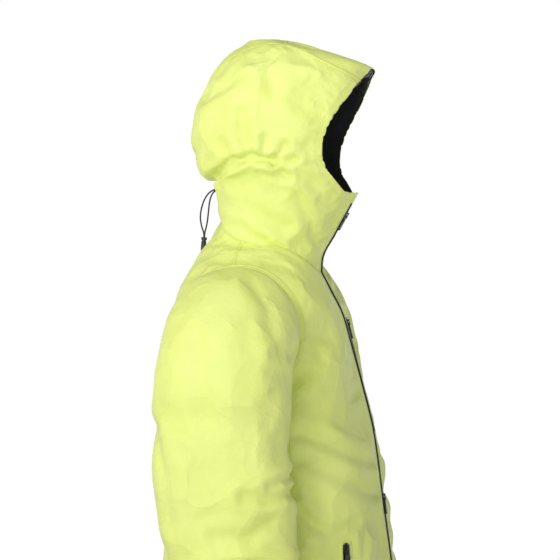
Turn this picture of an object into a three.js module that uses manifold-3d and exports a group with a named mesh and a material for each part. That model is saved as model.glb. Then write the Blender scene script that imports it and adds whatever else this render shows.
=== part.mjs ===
// A hardshell jacket with a helmet-size hood, in the shape that it takes on a wearer: hood up, front zip closed,
// sleeves hanging. Millimetres, +Z up, the front faces -Y and the wearer's right side is -X.
// The origin is the middle of the neck opening, level with the back of the neck seam.
import * as THREE from 'three';
import { mergeVertices } from 'three/addons/utils/BufferGeometryUtils.js';
import Module from 'manifold-3d';

const wasm = await Module();
wasm.setup();

// ---------------------------------------------------------------- driving dimensions

const FABRIC = 2; // shell laminate with its seams, as a plain wall
const SEAM = 0.5; // gap between two sewn panels
const LAYER = 0.35; // gap between two layers that lie on each other

const NECK = { frontZ: -75, sideZ: -34, backZ: 5, frontY: -83, backY: 77, halfWidth: 86 };
const BACK_LENGTH = 770; // back of the neck seam to the hem
const FRONT_RISE = 8; // the front hem is this much higher than the back hem
const WAIST_Z = -330;
const WAIST = { frontY: -167, backY: 159, halfWidth: 186 };
const CHEST = { frontZ: -256, frontY: -149, backY: 170, halfWidth: 187 };
const HEM = { frontY: -226, backY: 166, halfWidth: 204 };

const ARMHOLE = { y: 18, z: -165, radius: 95.5 };
const ARMHOLE_PLAY = 1; // sleeve neck in the armhole
const SLEEVE = { halfWidth: 62, halfDepth: 104, y: 25 };
const ELBOW_Z = -400;
const ELBOW_Y = 20;
const ELBOW_SIDE_PLAY = 0.7; // lower sleeve in the upper one, beside the elbow
const LOWER_SLEEVE = { halfDepth: 92, length: 262 };
const CUFF = { halfWidth: 47, halfDepth: 68, length: 46, y: -40 };
const TAB = { frontY: -84, backY: 2, width: 26, thickness: 2.2 };

const HOOD_TOP_Z = 299;
const HOOD = { halfWidth: 114, jawHalfWidth: 112, backY: 121, peakY: -166, peakZ: 248 };
const COLLAR = { halfWidth: 103.6, backY: 84, chinY: -141, lean: 0.555, chinZ: 51, backZ: 88 };
const BRIM_SEAM = { backY: -30, backZ: 286, frontY: -142, frontZ: 230, slope: 0.64 };
const CROWN_STRIP_HALF = 52;

const ZIP = { slotHalf: 6, tapeHalf: 15, tape: 0.8, coilHalf: 3.1, coilRise: 2.4, split: 0.25 };
const SLIDER = { length: 13, halfWidth: 4.9, plate: 1.4, rail: 0.9, arch: 3.2 };
const PULLER = { length: 27, halfWidth: 4.6, thickness: 2.2, pin: 0.7 };
const UPPER_SLIDER_Z = 16;
const LOWER_SLIDER_Z = -432;
const STORM_FLAP = { halfWidth: 20, thickness: 1.4, depth: 7 };

const CHEST_ZIP = { x: 42, topZ: -148, bottomZ: -330 };
const HAND_ZIP = { topX: 146, topZ: -486, bottomX: 160, bottomZ: -650 };
const WELT_MARGIN = 9; // welt beyond the zip's slot, on each side
const BAG = { thickness: 2.4 };

const HEM_BAND = { top: 0.2, edge: 0.03, thickness: 1.2, channel: 3.6, startX: 97 }; // top and edge in levels
const HEM_CORD = 2.6;
const SIDE_SEAM_Y = 30;
const COLLAR_SEAM_Y = 6;
const CORD_LOCK = { radius: 7, length: 26, buttonRadius: 4.6, buttonTravel: 4 };
const CINCH_CORD = 2.6;
const CORD_END = { radius: 4.6, length: 22 };
const LOOP_TAPE = { width: 8, thickness: 1.4, length: 70 };

// ---------------------------------------------------------------- materials

const finish = (name, color, roughness, metalness = 0) =>
  Object.assign(new THREE.MeshStandardMaterial({ color, roughness, metalness }), { name });
const LIME = finish('shell_fabric', 0xebf497, 0.62);
const BLACK_TAPE = finish('zip_tape', 0x191a1b, 0.55);
const BLACK_PLASTIC = finish('moulded_black', 0x1d1e1f, 0.42);
const BLACK_CORD = finish('cord', 0x202124, 0.7);
const LINING = finish('black_lining', 0x24262a, 0.85);

// ---------------------------------------------------------------- solids and grids

const solidOf = (geometry, matrix) => {
  const plain = geometry.clone();
  if (matrix) plain.applyMatrix4(matrix);
  plain.deleteAttribute('normal');
  plain.deleteAttribute('uv');
  const merged = mergeVertices(plain, 1e-4);
  return new wasm.Manifold(
    new wasm.Mesh({
      numProp: 3,
      vertProperties: merged.attributes.position.array,
      triVerts: new Uint32Array(merged.index.array),
    }),
  );
};

// A cut can leave a loose sliver, so a mesh keeps the largest body only.
const meshOf = (name, solid, material) => {
  const [largest] = solid.decompose().sort((a, b) => b.volume() - a.volume());
  const { numProp, vertProperties, triVerts } = largest.simplify(0.08).getMesh();
  const positions = new Float32Array((vertProperties.length / numProp) * 3);
  for (let i = 0; i < positions.length / 3; i += 1) {
    positions.set(vertProperties.subarray(i * numProp, i * numProp + 3), i * 3);
  }
  const geometry = new THREE.BufferGeometry();
  geometry.setAttribute('position', new THREE.BufferAttribute(positions, 3));
  geometry.setIndex(new THREE.BufferAttribute(new Uint32Array(triVerts), 1));
  geometry.computeVertexNormals();
  const mesh = new THREE.Mesh(geometry, material);
  mesh.name = name;
  return mesh;
};

const box = (x0, x1, y0, y1, z0, z1) =>
  solidOf(
    new THREE.BoxGeometry(x1 - x0, y1 - y0, z1 - z0),
    new THREE.Matrix4().makeTranslation((x0 + x1) / 2, (y0 + y1) / 2, (z0 + z1) / 2),
  );

// A prism along X over an outline given as [y, z] points.
const prism = (outline, x0, x1) => {
  const shape = new THREE.Shape(outline.map(([y, z]) => new THREE.Vector2(y, z)));
  const geometry = new THREE.ExtrudeGeometry(shape, { depth: x1 - x0, bevelEnabled: false });
  const turn = new THREE.Matrix4().makeBasis(
    new THREE.Vector3(0, 1, 0),
    new THREE.Vector3(0, 0, 1),
    new THREE.Vector3(1, 0, 0),
  );
  return solidOf(geometry, turn.setPosition(x0, 0, 0));
};

const cylinderAlongX = (radius, x0, x1, y, z, sides) =>
  solidOf(
    new THREE.CylinderGeometry(radius, radius, x1 - x0, sides),
    new THREE.Matrix4().makeRotationZ(Math.PI / 2).setPosition((x0 + x1) / 2, y, z),
  );

const cylinderAlongY = (radius, y0, y1, x, z, sides) =>
  solidOf(
    new THREE.CylinderGeometry(radius, radius, y1 - y0, sides),
    new THREE.Matrix4().makeTranslation(x, (y0 + y1) / 2, z),
  );

// Smooth in-between rows: each row is a list of numbers, and s counts rows.
const between = (rows, s) => {
  const i = Math.min(Math.max(Math.floor(s), 0), rows.length - 2);
  const t = s - i;
  const row = (k) => rows[Math.min(Math.max(k, 0), rows.length - 1)];
  return row(i).map((value, k) => {
    const next = row(i + 1)[k];
    const startSlope = i > 0 ? (next - row(i - 1)[k]) / 2 : next - value;
    const endSlope = i + 2 < rows.length ? (row(i + 2)[k] - value) / 2 : next - value;
    const t2 = t * t;
    const t3 = t2 * t;
    return (
      (2 * t3 - 3 * t2 + 1) * value + (t3 - 2 * t2 + t) * startSlope +
      (3 * t2 - 2 * t3) * next + (t3 - t2) * endSlope
    );
  });
};

const fine = (rows, steps) => {
  const count = (rows.length - 1) * steps;
  return Array.from({ length: count + 1 }, (_, k) => between(rows, k / steps));
};

// A level is [frontZ, sideZ, backZ, frontY, backY, halfWidth, roundness]; phi is 0 in front and a quarter turn at +X.
const levelPoint = ([frontZ, sideZ, backZ, frontY, backY, halfWidth, roundness], phi) => {
  const c = Math.cos(phi);
  const s = Math.sin(phi);
  const power = 2 / roundness;
  const bend = (value) => Math.sign(value) * Math.abs(value) ** power;
  const endZ = c > 0 ? frontZ : backZ;
  return new THREE.Vector3(
    halfWidth * bend(s),
    (frontY + backY) / 2 - ((backY - frontY) / 2) * bend(c),
    sideZ + (endZ - sideZ) * c * c,
  );
};

const levelGrid = (levels, around) =>
  levels.map((level) =>
    Array.from({ length: around }, (_, k) => levelPoint(level, (2 * Math.PI * k) / around)),
  );

// A solid over rings of points that go anticlockwise seen against the direction from the first to the last.
// Its ends are fans, whose middles a bulge pushes outwards.
const gridSolid = (rings, { pole, bulge = 0 } = {}) => {
  const around = rings[0].length;
  const positions = rings.flat().flatMap((p) => [p.x, p.y, p.z]);
  const middle = (ring) => ring.reduce((sum, p) => sum.add(p), new THREE.Vector3()).divideScalar(around);
  const pushed = (ring, before) => {
    const centre = middle(ring);
    return centre.clone().addScaledVector(centre.sub(middle(before)).normalize(), bulge);
  };
  const first = positions.length / 3;
  const start = pushed(rings[0], rings[1]);
  const end = pole ?? pushed(rings.at(-1), rings.at(-2));
  positions.push(start.x, start.y, start.z, end.x, end.y, end.z);
  const index = [];
  for (let k = 0; k < around; k += 1) {
    const next = (k + 1) % around;
    index.push(first, next, k);
    for (let r = 0; r + 1 < rings.length; r += 1) {
      const a = r * around + k;
      const b = r * around + next;
      index.push(a, b, b + around, a, b + around, a + around);
    }
    const last = (rings.length - 1) * around;
    index.push(first + 1, last + k, last + next);
  }
  const made = new wasm.Manifold(
    new wasm.Mesh({
      numProp: 3,
      vertProperties: new Float32Array(positions),
      triVerts: new Uint32Array(index),
    }),
  );
  if (made.volume() < 0) throw new Error('a grid of rings runs the wrong way round');
  return made;
};

// The rings moved inwards by a depth, along the surface's own normals.
const inset = (rings, depth) =>
  rings.map((ring, r) =>
    ring.map((point, k) => {
      const around = ring.length;
      const along = new THREE.Vector3().subVectors(
        rings[Math.min(r + 1, rings.length - 1)][k],
        rings[Math.max(r - 1, 0)][k],
      );
      const across = new THREE.Vector3().subVectors(ring[(k + 1) % around], ring[(k + around - 1) % around]);
      const outwards = across.cross(along).normalize();
      return point.clone().addScaledVector(outwards, -depth);
    }),
  );

// The space inside a wall's inner rings; beyond each end it flares out to the wall's outer rings.
const hollowOf = (outer, inner, beyond = 3) => {
  const pastEnd = (ring, before) =>
    ring.map((p, k) => p.clone().addScaledVector(p.clone().sub(before[k]).normalize(), beyond));
  const rings = [pastEnd(outer[0], outer[1]), ...inner, pastEnd(outer.at(-1), outer.at(-2))];
  return gridSolid(rings, { bulge: 30 });
};

const tubeShell = (rings, wall = FABRIC) => gridSolid(rings).subtract(hollowOf(rings, inset(rings, wall)));

// ---------------------------------------------------------------- torso and collar surface

const HEM_Z = NECK.backZ - BACK_LENGTH;
const HEM_FRONT_Z = HEM_Z + FRONT_RISE;

// A level between the hem and the waist; the front and the back are straight lines there.
const skirtLevel = (share, roundness) => {
  const mix = (a, b) => a + (b - a) * share;
  return [
    mix(HEM_FRONT_Z, WAIST_Z), mix(HEM_Z + FRONT_RISE / 2, WAIST_Z), mix(HEM_Z, WAIST_Z),
    mix(HEM.frontY, WAIST.frontY), mix(HEM.backY, WAIST.backY), mix(HEM.halfWidth, WAIST.halfWidth), roundness,
  ];
};

// The collar's front is straight, so that the slider can run on it.
const collarFrontY = (z) => COLLAR.chinY + COLLAR.lean * (COLLAR.chinZ - z);

const COLLAR_STRAIGHT_Z = -17;

const NECK_LEVEL = 9;
const BODY_LEVELS = [
  skirtLevel(0, 2.3),
  skirtLevel(0.25, 2.35),
  skirtLevel(0.5, 2.4),
  skirtLevel(0.75, 2.45),
  skirtLevel(1, 2.5),
  [CHEST.frontZ, -262, -256, CHEST.frontY, CHEST.backY, CHEST.halfWidth, 2.7],
  [-190, -168, -172, -131, 150, CHEST.halfWidth, 3],
  [-142, -92, -104, -117, 126, CHEST.halfWidth - 2, 2.9],
  [-104, -58, -44, -98, 100, (CHEST.halfWidth + NECK.halfWidth) / 2, 2.6],
  [NECK.frontZ, NECK.sideZ, NECK.backZ, NECK.frontY, NECK.backY, NECK.halfWidth, 2.4],
  [-48, -14, 22, collarFrontY(-48), 76, 89, 2.4],
  [COLLAR_STRAIGHT_Z, 18, 42, collarFrontY(COLLAR_STRAIGHT_Z), 78, 95, 2.4],
  [18, 54, 64, collarFrontY(18), 81, COLLAR.halfWidth - 1.4, 2.4],
  [COLLAR.chinZ, 90, COLLAR.backZ, COLLAR.chinY, COLLAR.backY, COLLAR.halfWidth, 2.4],
];
const COLLAR_LEVEL = BODY_LEVELS.length - 1;

const AROUND = 24;
const NECK_GAP = 0.012; // half of the neck seam's gap, in levels

// Every layer of one surface has its rings at the same places, so that layers keep their distance.
const ringPlaces = (levels, ...more) => {
  const isBody = levels === BODY_LEVELS;
  const seams = isBody ? [NECK_LEVEL - NECK_GAP, NECK_LEVEL + NECK_GAP] : [];
  const places = [...seams, ...more];
  for (let s = 0; s < levels.length; s += isBody && s < 4 ? 1 : 0.5) {
    if (s < levels.length - 0.5 && places.every((taken) => Math.abs(taken - s) > 0.004)) places.push(s);
  }
  return places.sort((a, b) => a - b);
};

// The layer between two depths below a lofted surface, from level s0 to level s1.
const layer = (levels, s0, s1, depth0, depth1) => {
  const places = ringPlaces(levels, s0, s1).filter((s, k, all) => k === 0 || s > all[k - 1] + 1e-6);
  const rings = levelGrid(places.map((s) => between(levels, s)), AROUND);
  const atDepth = (depth) => inset(rings, depth).filter((_, k) => places[k] >= s0 && places[k] <= s1);
  return gridSolid(atDepth(depth0)).subtract(hollowOf(atDepth(depth0), atDepth(depth1)));
};

// The solid inside a depth below the body's surface, up to a level.
const insideBody = (depth, top = NECK_LEVEL) => {
  const places = ringPlaces(BODY_LEVELS);
  const rings = levelGrid(places.map((s) => between(BODY_LEVELS, s)), AROUND);
  return gridSolid(inset(rings, depth).filter((_, k) => places[k] <= top));
};

// The point of the body's front with this x and z, and the outward normal there.
const onFront = (x, z) => {
  const pointAt = (s) => {
    const level = between(BODY_LEVELS, s);
    const share = Math.min(1, Math.abs(x) / level[5]);
    return levelPoint(level, Math.asin(share ** (level[6] / 2)) * Math.sign(x));
  };
  let low = 0;
  let high = COLLAR_LEVEL;
  for (let k = 0; k < 40; k += 1) {
    const mid = (low + high) / 2;
    if (pointAt(mid).z < z) low = mid;
    else high = mid;
  }
  return pointAt(low);
};

const frontNormal = (x, z) => {
  const step = 8;
  const across = onFront(x + step, z).sub(onFront(x - step, z));
  const up = onFront(x, z + step).sub(onFront(x, z - step));
  return across.cross(up).normalize();
};

// ---------------------------------------------------------------- zips and cord locks

const placed = (solid, matrix) => solid.transform(matrix.elements);

// A zip's frame: +Z runs up the zip, +Y goes into the jacket and +X across it.
const zipFrame = (up, normal, origin) => {
  const across = new THREE.Vector3().crossVectors(up, normal).normalize();
  const inwards = new THREE.Vector3().crossVectors(up, across);
  return new THREE.Matrix4().makeBasis(across, inwards, up).setPosition(origin);
};

const TAPE_DEPTH = FABRIC + LAYER;
const COIL_FACE = TAPE_DEPTH - ZIP.coilRise;

// Both halves of a straight zip, tape and coil in one.
const straightZip = (halfLength) => {
  const { tapeHalf, tape, coilHalf } = ZIP;
  const strip = box(-tapeHalf, tapeHalf, TAPE_DEPTH, TAPE_DEPTH + tape, -halfLength - 6, halfLength + 6);
  return strip.add(box(-coilHalf, coilHalf, COIL_FACE, TAPE_DEPTH + 0.2, -halfLength, halfLength));
};

// A slider straddles the coil; its frame is the zip's, with the origin at its middle.
const PLATE_FACE = COIL_FACE - LAYER;
const sliderSolid = () => {
  const { length, halfWidth, plate, rail, arch } = SLIDER;
  const bridge = PLATE_FACE - plate - arch;
  const top = box(-halfWidth, halfWidth, PLATE_FACE - plate, PLATE_FACE, -length / 2, length / 2);
  const sideX = halfWidth - rail / 2;
  const side = (x) =>
    box(x - rail / 2, x + rail / 2, PLATE_FACE - 0.1, TAPE_DEPTH - LAYER, -length / 2 + 1, length / 2 - 1);
  const post = box(-1.2, 1.2, bridge, PLATE_FACE - plate + 0.1, -length / 2 + 1.5, length / 2 - 1.5);
  const eye = box(-2, 2, bridge + 0.9, PLATE_FACE - plate, -2.2, 1.6);
  return top.add(side(sideX)).add(side(-sideX)).add(post.subtract(eye));
};

// A puller hangs from the slider's eye: a pin, two cheeks and a moulded tab.
const PIN_Y = PLATE_FACE - SLIDER.plate - (SLIDER.arch - 0.9) / 2;
const PIN_Z = -0.3;
const pullerSolid = () => {
  const { length, halfWidth, thickness, pin } = PULLER;
  const bar = cylinderAlongX(pin, -3.1, 3.1, PIN_Y, PIN_Z, 8);
  const cheek = (x) => box(x - 0.7, x + 0.7, PIN_Y - 0.8, PIN_Y + 0.8, -8.4, PIN_Z + 0.8);
  const round = 3;
  const outline = new THREE.Shape();
  outline.moveTo(-3.3, -8);
  outline.lineTo(-halfWidth, -12.5);
  outline.lineTo(-halfWidth, -length + round);
  outline.absarc(-halfWidth + round, -length + round, round, Math.PI, Math.PI * 1.5, false);
  outline.absarc(halfWidth - round, -length + round, round, -Math.PI / 2, 0, false);
  outline.lineTo(halfWidth, -12.5);
  outline.lineTo(3.3, -8);
  const tab = new THREE.ExtrudeGeometry(outline, { depth: thickness, bevelEnabled: false, curveSegments: 2 });
  const upright = new THREE.Matrix4().makeRotationX(Math.PI / 2).setPosition(0, PIN_Y + thickness / 2, 0);
  return bar.add(cheek(2.4)).add(cheek(-2.4)).add(solidOf(tab, upright));
};

const LOCK_BORE_Z = -3;

// A cord lock in its own frame: the cord runs along X through the body and the button moves along Z.
const cordLock = () => {
  const { radius, length, buttonRadius, buttonTravel } = CORD_LOCK;
  const upright = new THREE.Matrix4().makeRotationX(Math.PI / 2);
  const round = (r, z0, z1, sides) =>
    solidOf(
      new THREE.CylinderGeometry(r, r, z1 - z0, sides),
      new THREE.Matrix4().makeTranslation(0, 0, (z0 + z1) / 2).multiply(upright),
    );
  const bore = cylinderAlongX(HEM_CORD / 2 + LAYER, -20, 20, 0, LOCK_BORE_Z, 16);
  const well = round(buttonRadius + LAYER, -length / 2 + 2, 20, 24);
  const body = round(radius, -length / 2, length / 2 - buttonTravel - 1, 24).subtract(well).subtract(bore);
  const halfBore = HEM_CORD / 2 + LAYER;
  const slot = box(-20, 20, -halfBore, halfBore, LOCK_BORE_Z - halfBore, LOCK_BORE_Z + buttonTravel + halfBore);
  const stem = round(buttonRadius, -length / 2 + 2 + buttonTravel + LAYER, length / 2, 24);
  const cap = round(radius, length / 2 - 0.1, length / 2 + 2, 24);
  return { body, button: stem.subtract(slot).add(cap) };
};

// A plain cord along a route, in steps of about two and a half diameters.
const cordAlong = (route, diameter, sides = 8) => {
  const curve = new THREE.CatmullRomCurve3(route.map((p) => new THREE.Vector3(...p)), false, 'centripetal');
  const section = new THREE.Shape().absarc(0, 0, diameter / 2, 0, 2 * Math.PI, false);
  const steps = Math.min(80, Math.max(6, Math.round(curve.getLength() / (2.6 * diameter))));
  const options = { steps, extrudePath: curve, curveSegments: sides / 2, bevelEnabled: false };
  return solidOf(new THREE.ExtrudeGeometry(section, options));
};

// ---------------------------------------------------------------- assembly

const jacket = new THREE.Group();
jacket.name = 'hardshell_jacket';
const moving = {}; // the pins and directions of what moves, for whoever rigs the jacket
jacket.userData.moving = moving;
const add = (name, solid, material) => jacket.add(meshOf(name, solid, material));
const FAR = 700;
const SIDES = [['right', -1], ['left', 1]];
// The part of space on one wearer's side, from x0 outwards.
const beside = (sign, x0, y0 = -FAR, y1 = FAR, z0 = -2 * FAR, z1 = FAR) =>
  box(Math.min(sign * x0, sign * FAR), Math.max(sign * x0, sign * FAR), y0, y1, z0, z1);
const strip = (sign, x0, x1) =>
  box(Math.min(sign * x0, sign * x1), Math.max(sign * x0, sign * x1), -FAR, -10, -2 * FAR, FAR);

// Torso panels and collar
const armholes = cylinderAlongX(ARMHOLE.radius, -FAR, FAR, ARMHOLE.y, ARMHOLE.z, 64)
  .subtract(box(-60, 60, -FAR, FAR, -FAR, FAR));
const torso = layer(BODY_LEVELS, 0, NECK_LEVEL - NECK_GAP, 0, FABRIC).subtract(armholes);
const collar = layer(BODY_LEVELS, NECK_LEVEL + NECK_GAP, COLLAR_LEVEL, 0, FABRIC);
const panels = {
  right: torso.intersect(beside(-1, ZIP.slotHalf, -FAR, SIDE_SEAM_Y - SEAM / 2)),
  left: torso.intersect(beside(1, ZIP.slotHalf, -FAR, SIDE_SEAM_Y - SEAM / 2)),
};

// A pocket: a welt set into the panel, the zip behind it and the bag behind the zip.
const bodyInside = insideBody(FABRIC + LAYER);
const bagLayer = layer(BODY_LEVELS, 0.3, NECK_LEVEL - 1, FABRIC + LAYER, FABRIC + LAYER + BAG.thickness);
const addPocket = (name, top, bottom, reach) => {
  const middle = top.clone().add(bottom).multiplyScalar(0.5);
  const up = top.clone().sub(bottom).normalize();
  const halfLength = top.distanceTo(bottom) / 2;
  const surface = zipFrame(up, frontNormal(middle.x, middle.z), middle);
  const sunk = surface.clone().multiply(new THREE.Matrix4().makeTranslation(0, reach.sink, 0));
  const half = ZIP.slotHalf + WELT_MARGIN;
  const around = (grow, y0, y1) =>
    box(-half - grow, half + grow, y0, y1, -halfLength - WELT_MARGIN - grow, halfLength + WELT_MARGIN + grow);
  const slot = box(-ZIP.slotHalf, ZIP.slotHalf, -FAR, FAR, -halfLength, halfLength);
  add(`${name}_welt`, placed(around(0, 0, FABRIC).subtract(slot), sunk), LIME);
  add(`${name}_zip_tape`, placed(straightZip(halfLength), sunk), BLACK_TAPE);
  const wellFloor = TAPE_DEPTH + ZIP.tape + LAYER;
  const room = placed(around(SEAM, -20, wellFloor), sunk);
  const well = placed(around(SEAM + 1.5, -2, wellFloor + BAG.thickness), sunk).intersect(bodyInside);
  const region = placed(box(reach.x0, reach.x1, -40, 60, -halfLength - reach.drop, halfLength + 20), surface);
  add(`${name}_bag`, bagLayer.intersect(region).add(well).subtract(room), LINING);
  const atTop = new THREE.Matrix4().makeTranslation(0, 0, halfLength - SLIDER.length / 2 - 2).premultiply(sunk);
  add(`${name}_zip_slider`, placed(sliderSolid(), atTop), BLACK_PLASTIC);
  add(`${name}_zip_puller`, placed(pullerSolid(), atTop), BLACK_PLASTIC);
  const pin = new THREE.Vector3(0, PIN_Y, PIN_Z).applyMatrix4(atTop);
  moving[name] = { pin, up, across: new THREE.Vector3(1, 0, 0).transformDirection(surface) };
  return placed(around(SEAM, -20, 12), sunk);
};

const chestTop = onFront(CHEST_ZIP.x, CHEST_ZIP.topZ);
const chestBottom = onFront(CHEST_ZIP.x + 4, CHEST_ZIP.bottomZ);
panels.left = panels.left.subtract(
  addPocket('chest_pocket', chestTop, chestBottom, { x0: -17, x1: 92, drop: 12, sink: 3 }),
);
for (const [side, sign] of SIDES) {
  const top = onFront(sign * HAND_ZIP.topX, HAND_ZIP.topZ);
  const bottom = onFront(sign * HAND_ZIP.bottomX, HAND_ZIP.bottomZ);
  const reach = { x0: sign < 0 ? -18 : -112, x1: sign < 0 ? 112 : 18, drop: 45, sink: 1.5 };
  panels[side] = panels[side].subtract(addPocket(`hand_pocket_${side}`, top, bottom, reach));
}

const beyondTape = ZIP.tapeHalf + SEAM;
for (const [side, sign] of SIDES) {
  add(`front_panel_${side}`, panels[side], LIME);
  add(`collar_${side}`, collar.intersect(beside(sign, ZIP.slotHalf, -FAR, COLLAR_SEAM_Y - SEAM / 2)), LIME);
  const tape = layer(BODY_LEVELS, 0, COLLAR_LEVEL - 0.25, TAPE_DEPTH, TAPE_DEPTH + ZIP.tape);
  const coil = layer(BODY_LEVELS, 0.02, COLLAR_LEVEL - 0.55, COIL_FACE, TAPE_DEPTH + 0.1);
  add(
    `main_zip_tape_${side}`,
    tape.intersect(strip(sign, ZIP.split, ZIP.tapeHalf)).add(coil.intersect(strip(sign, ZIP.split, ZIP.coilHalf))),
    BLACK_TAPE,
  );
}
add('back_panel', torso.intersect(box(-FAR, FAR, SIDE_SEAM_Y + SEAM / 2, FAR, -2 * FAR, FAR)), LIME);
const collarBack = collar.intersect(box(-FAR, FAR, COLLAR_SEAM_Y + SEAM / 2, FAR, -2 * FAR, FAR));

// The zip's garage: a folded piece of fabric over the top of the zip, between the two halves of the collar.
const garage = layer(BODY_LEVELS, COLLAR_LEVEL - 0.5, COLLAR_LEVEL, -1.6, -LAYER)
  .intersect(box(-11, 11, -FAR, 0, -FAR, FAR));
add('zip_garage', garage, LIME);

// The storm flap lies behind the zip and hangs from the right half of it.
const flap = layer(BODY_LEVELS, 0.1, COLLAR_LEVEL - 0.1, STORM_FLAP.depth, STORM_FLAP.depth + STORM_FLAP.thickness)
  .intersect(box(-STORM_FLAP.halfWidth, STORM_FLAP.halfWidth, -FAR, 0, -2 * FAR, FAR));
const flapSide = layer(BODY_LEVELS, 0.3, COLLAR_LEVEL - 0.3, FABRIC + LAYER, STORM_FLAP.depth + 0.2)
  .intersect(box(-STORM_FLAP.halfWidth, -beyondTape - 1, -FAR, 0, -2 * FAR, FAR));
add('storm_flap', flap.add(flapSide), LINING);

// The two sliders of the front zip, each in line with the straight stretch that it runs on.
const addMainSlider = (name, z, stretch) => {
  const [low, high] = stretch.map((end) => onFront(0, end));
  const up = high.sub(low).normalize();
  const normal = new THREE.Vector3(0, -up.z, up.y);
  const frame = zipFrame(up, normal, onFront(0, z));
  add(`main_zip_${name}_slider`, placed(sliderSolid(), frame), BLACK_PLASTIC);
  add(`main_zip_${name}_puller`, placed(pullerSolid(), frame), BLACK_PLASTIC);
  const pin = new THREE.Vector3(0, PIN_Y, PIN_Z).applyMatrix4(frame);
  moving[`main_zip_${name}`] = { pin, up, across: new THREE.Vector3(1, 0, 0).transformDirection(frame) };
};
addMainSlider('upper', UPPER_SLIDER_Z, [COLLAR_STRAIGHT_Z, COLLAR.chinZ]);
addMainSlider('lower', LOWER_SLIDER_Z, [HEM_FRONT_Z, WAIST_Z]);

// Hem: a facing with a channel for the drawcord, and a lock on the cord at each side.
const HEM_FLOOR = FABRIC + LAYER + HEM_BAND.channel;
const hemFacing = layer(BODY_LEVELS, 0, HEM_BAND.top, FABRIC + LAYER, HEM_FLOOR + HEM_BAND.thickness)
  .subtract(layer(BODY_LEVELS, HEM_BAND.edge, HEM_BAND.top - HEM_BAND.edge, FABRIC, HEM_FLOOR))
  .subtract(box(-HEM_BAND.startX, HEM_BAND.startX, -FAR, 0, -2 * FAR, FAR));
add('hem_facing', hemFacing, LINING);

const hemLevel = between(BODY_LEVELS, HEM_BAND.top / 2);
const aboveHem = between(BODY_LEVELS, HEM_BAND.top);
// A frame inside the hem: +X round the jacket, +Y inwards and +Z up the slope of the panel.
const hemFrame = (phi, depth) => {
  const p = levelPoint(hemLevel, phi);
  const up = levelPoint(aboveHem, phi).sub(p).normalize();
  const along = levelPoint(hemLevel, phi + 0.02).sub(levelPoint(hemLevel, phi - 0.02)).normalize();
  const inwards = new THREE.Vector3().crossVectors(up, along).normalize();
  along.crossVectors(inwards, up);
  return new THREE.Matrix4().makeBasis(along, inwards, up).setPosition(p.addScaledVector(inwards, depth));
};
const LOCK_DEPTH = FABRIC + LAYER + CORD_LOCK.radius + 1.6;
const HEM_CORD_DEPTH = FABRIC + LAYER + HEM_BAND.channel / 2;
const LOCK_PHI = 0.2;
const toLock = [[0.12, LOCK_DEPTH], [0.16, LOCK_DEPTH], [LOCK_PHI, LOCK_DEPTH], [0.25, LOCK_DEPTH], [0.35, 7]];
const positionOf = ([phi, depth]) => new THREE.Vector3().setFromMatrixPosition(hemFrame(phi, depth));
// In the channel the cord keeps to the facets of the panel, through their corners and their middles.
const corners = Array.from({ length: AROUND - 3 }, (_, k) => positionOf([(2 * Math.PI * (k + 2)) / AROUND, HEM_CORD_DEPTH]));
const inChannel = corners.flatMap((p, k) => (k + 1 < corners.length ? [p, p.clone().lerp(corners[k + 1], 0.5)] : [p]));
const fromLock = toLock.map(([phi, depth]) => [2 * Math.PI - phi, depth]).reverse();
const hemRoute = [...toLock.map(positionOf), ...inChannel, ...fromLock.map(positionOf)].map((p) => p.toArray());
add('hem_drawcord', cordAlong(hemRoute, HEM_CORD, 6), BLACK_CORD);
for (const [side, sign] of SIDES) {
  const lift = new THREE.Matrix4().makeTranslation(0, 0, -LOCK_BORE_Z);
  const frame = hemFrame(sign * LOCK_PHI, LOCK_DEPTH).multiply(lift);
  const { body, button } = cordLock();
  add(`hem_cord_lock_${side}`, placed(body, frame), BLACK_PLASTIC);
  add(`hem_lock_button_${side}`, placed(button, frame), BLACK_PLASTIC);
  moving[`hem_lock_${side}`] = { up: new THREE.Vector3(0, 0, 1).transformDirection(frame) };
}

// ---------------------------------------------------------------- hood

const RIM = { frontZ: 62, sideZ: 68, backZ: 74 };
// Between its two lowest levels the smooth curve swings in by a sixteenth of the widening above them.
const RIM_SWING = (HOOD.jawHalfWidth - COLLAR.halfWidth - FABRIC - LAYER) / 16;
const rimHalfWidth = COLLAR.halfWidth + FABRIC + LAYER + RIM_SWING + 0.02;
const HOOD_LEVELS = [
  [RIM.frontZ, RIM.sideZ, RIM.backZ, -146, 110, rimHalfWidth, 2.9],
  [100, 102, 104, -152, 116, rimHalfWidth + 0.1, 2.9],
  [136, 136, 136, -154, HOOD.backY, HOOD.jawHalfWidth, 2.8],
  [170, 170, 170, -157, 117, HOOD.halfWidth, 2.7],
  [207, 207, 208, -161, 107, 110, 2.5],
  [233, 238, 242, -164, 90, 99, 2.4],
  [HOOD.peakZ, 262, 271, HOOD.peakY, 65, 79, 2.3],
  [268, 283, 289, -108, 38, 50, 2.2],
  [286, 294, 297, -52, 20, 22, 2],
];
const HOOD_TOP_LEVEL = HOOD_LEVELS.length - 1;
const pole = new THREE.Vector3(0, -12, HOOD_TOP_Z);

// The hood is closed at the crown, unlike the body, so its layers are whole caps.
const cap = (depth0, depth1) => {
  const places = ringPlaces(HOOD_LEVELS).filter((s) => s <= HOOD_TOP_LEVEL);
  const rings = levelGrid(places.map((s) => between(HOOD_LEVELS, s)), AROUND);
  const below = pole.clone().sub(new THREE.Vector3(0, 0, depth1));
  const outer = pole.clone().sub(new THREE.Vector3(0, 0, depth0));
  const inner = inset(rings, depth1);
  const mouth = inner[0].map((p) => p.clone().setZ(p.z - 8));
  const hollow = gridSolid([mouth, ...inner], { pole: below, bulge: 30 });
  return gridSolid(inset(rings, depth0), { pole: outer }).subtract(hollow);
};

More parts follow.
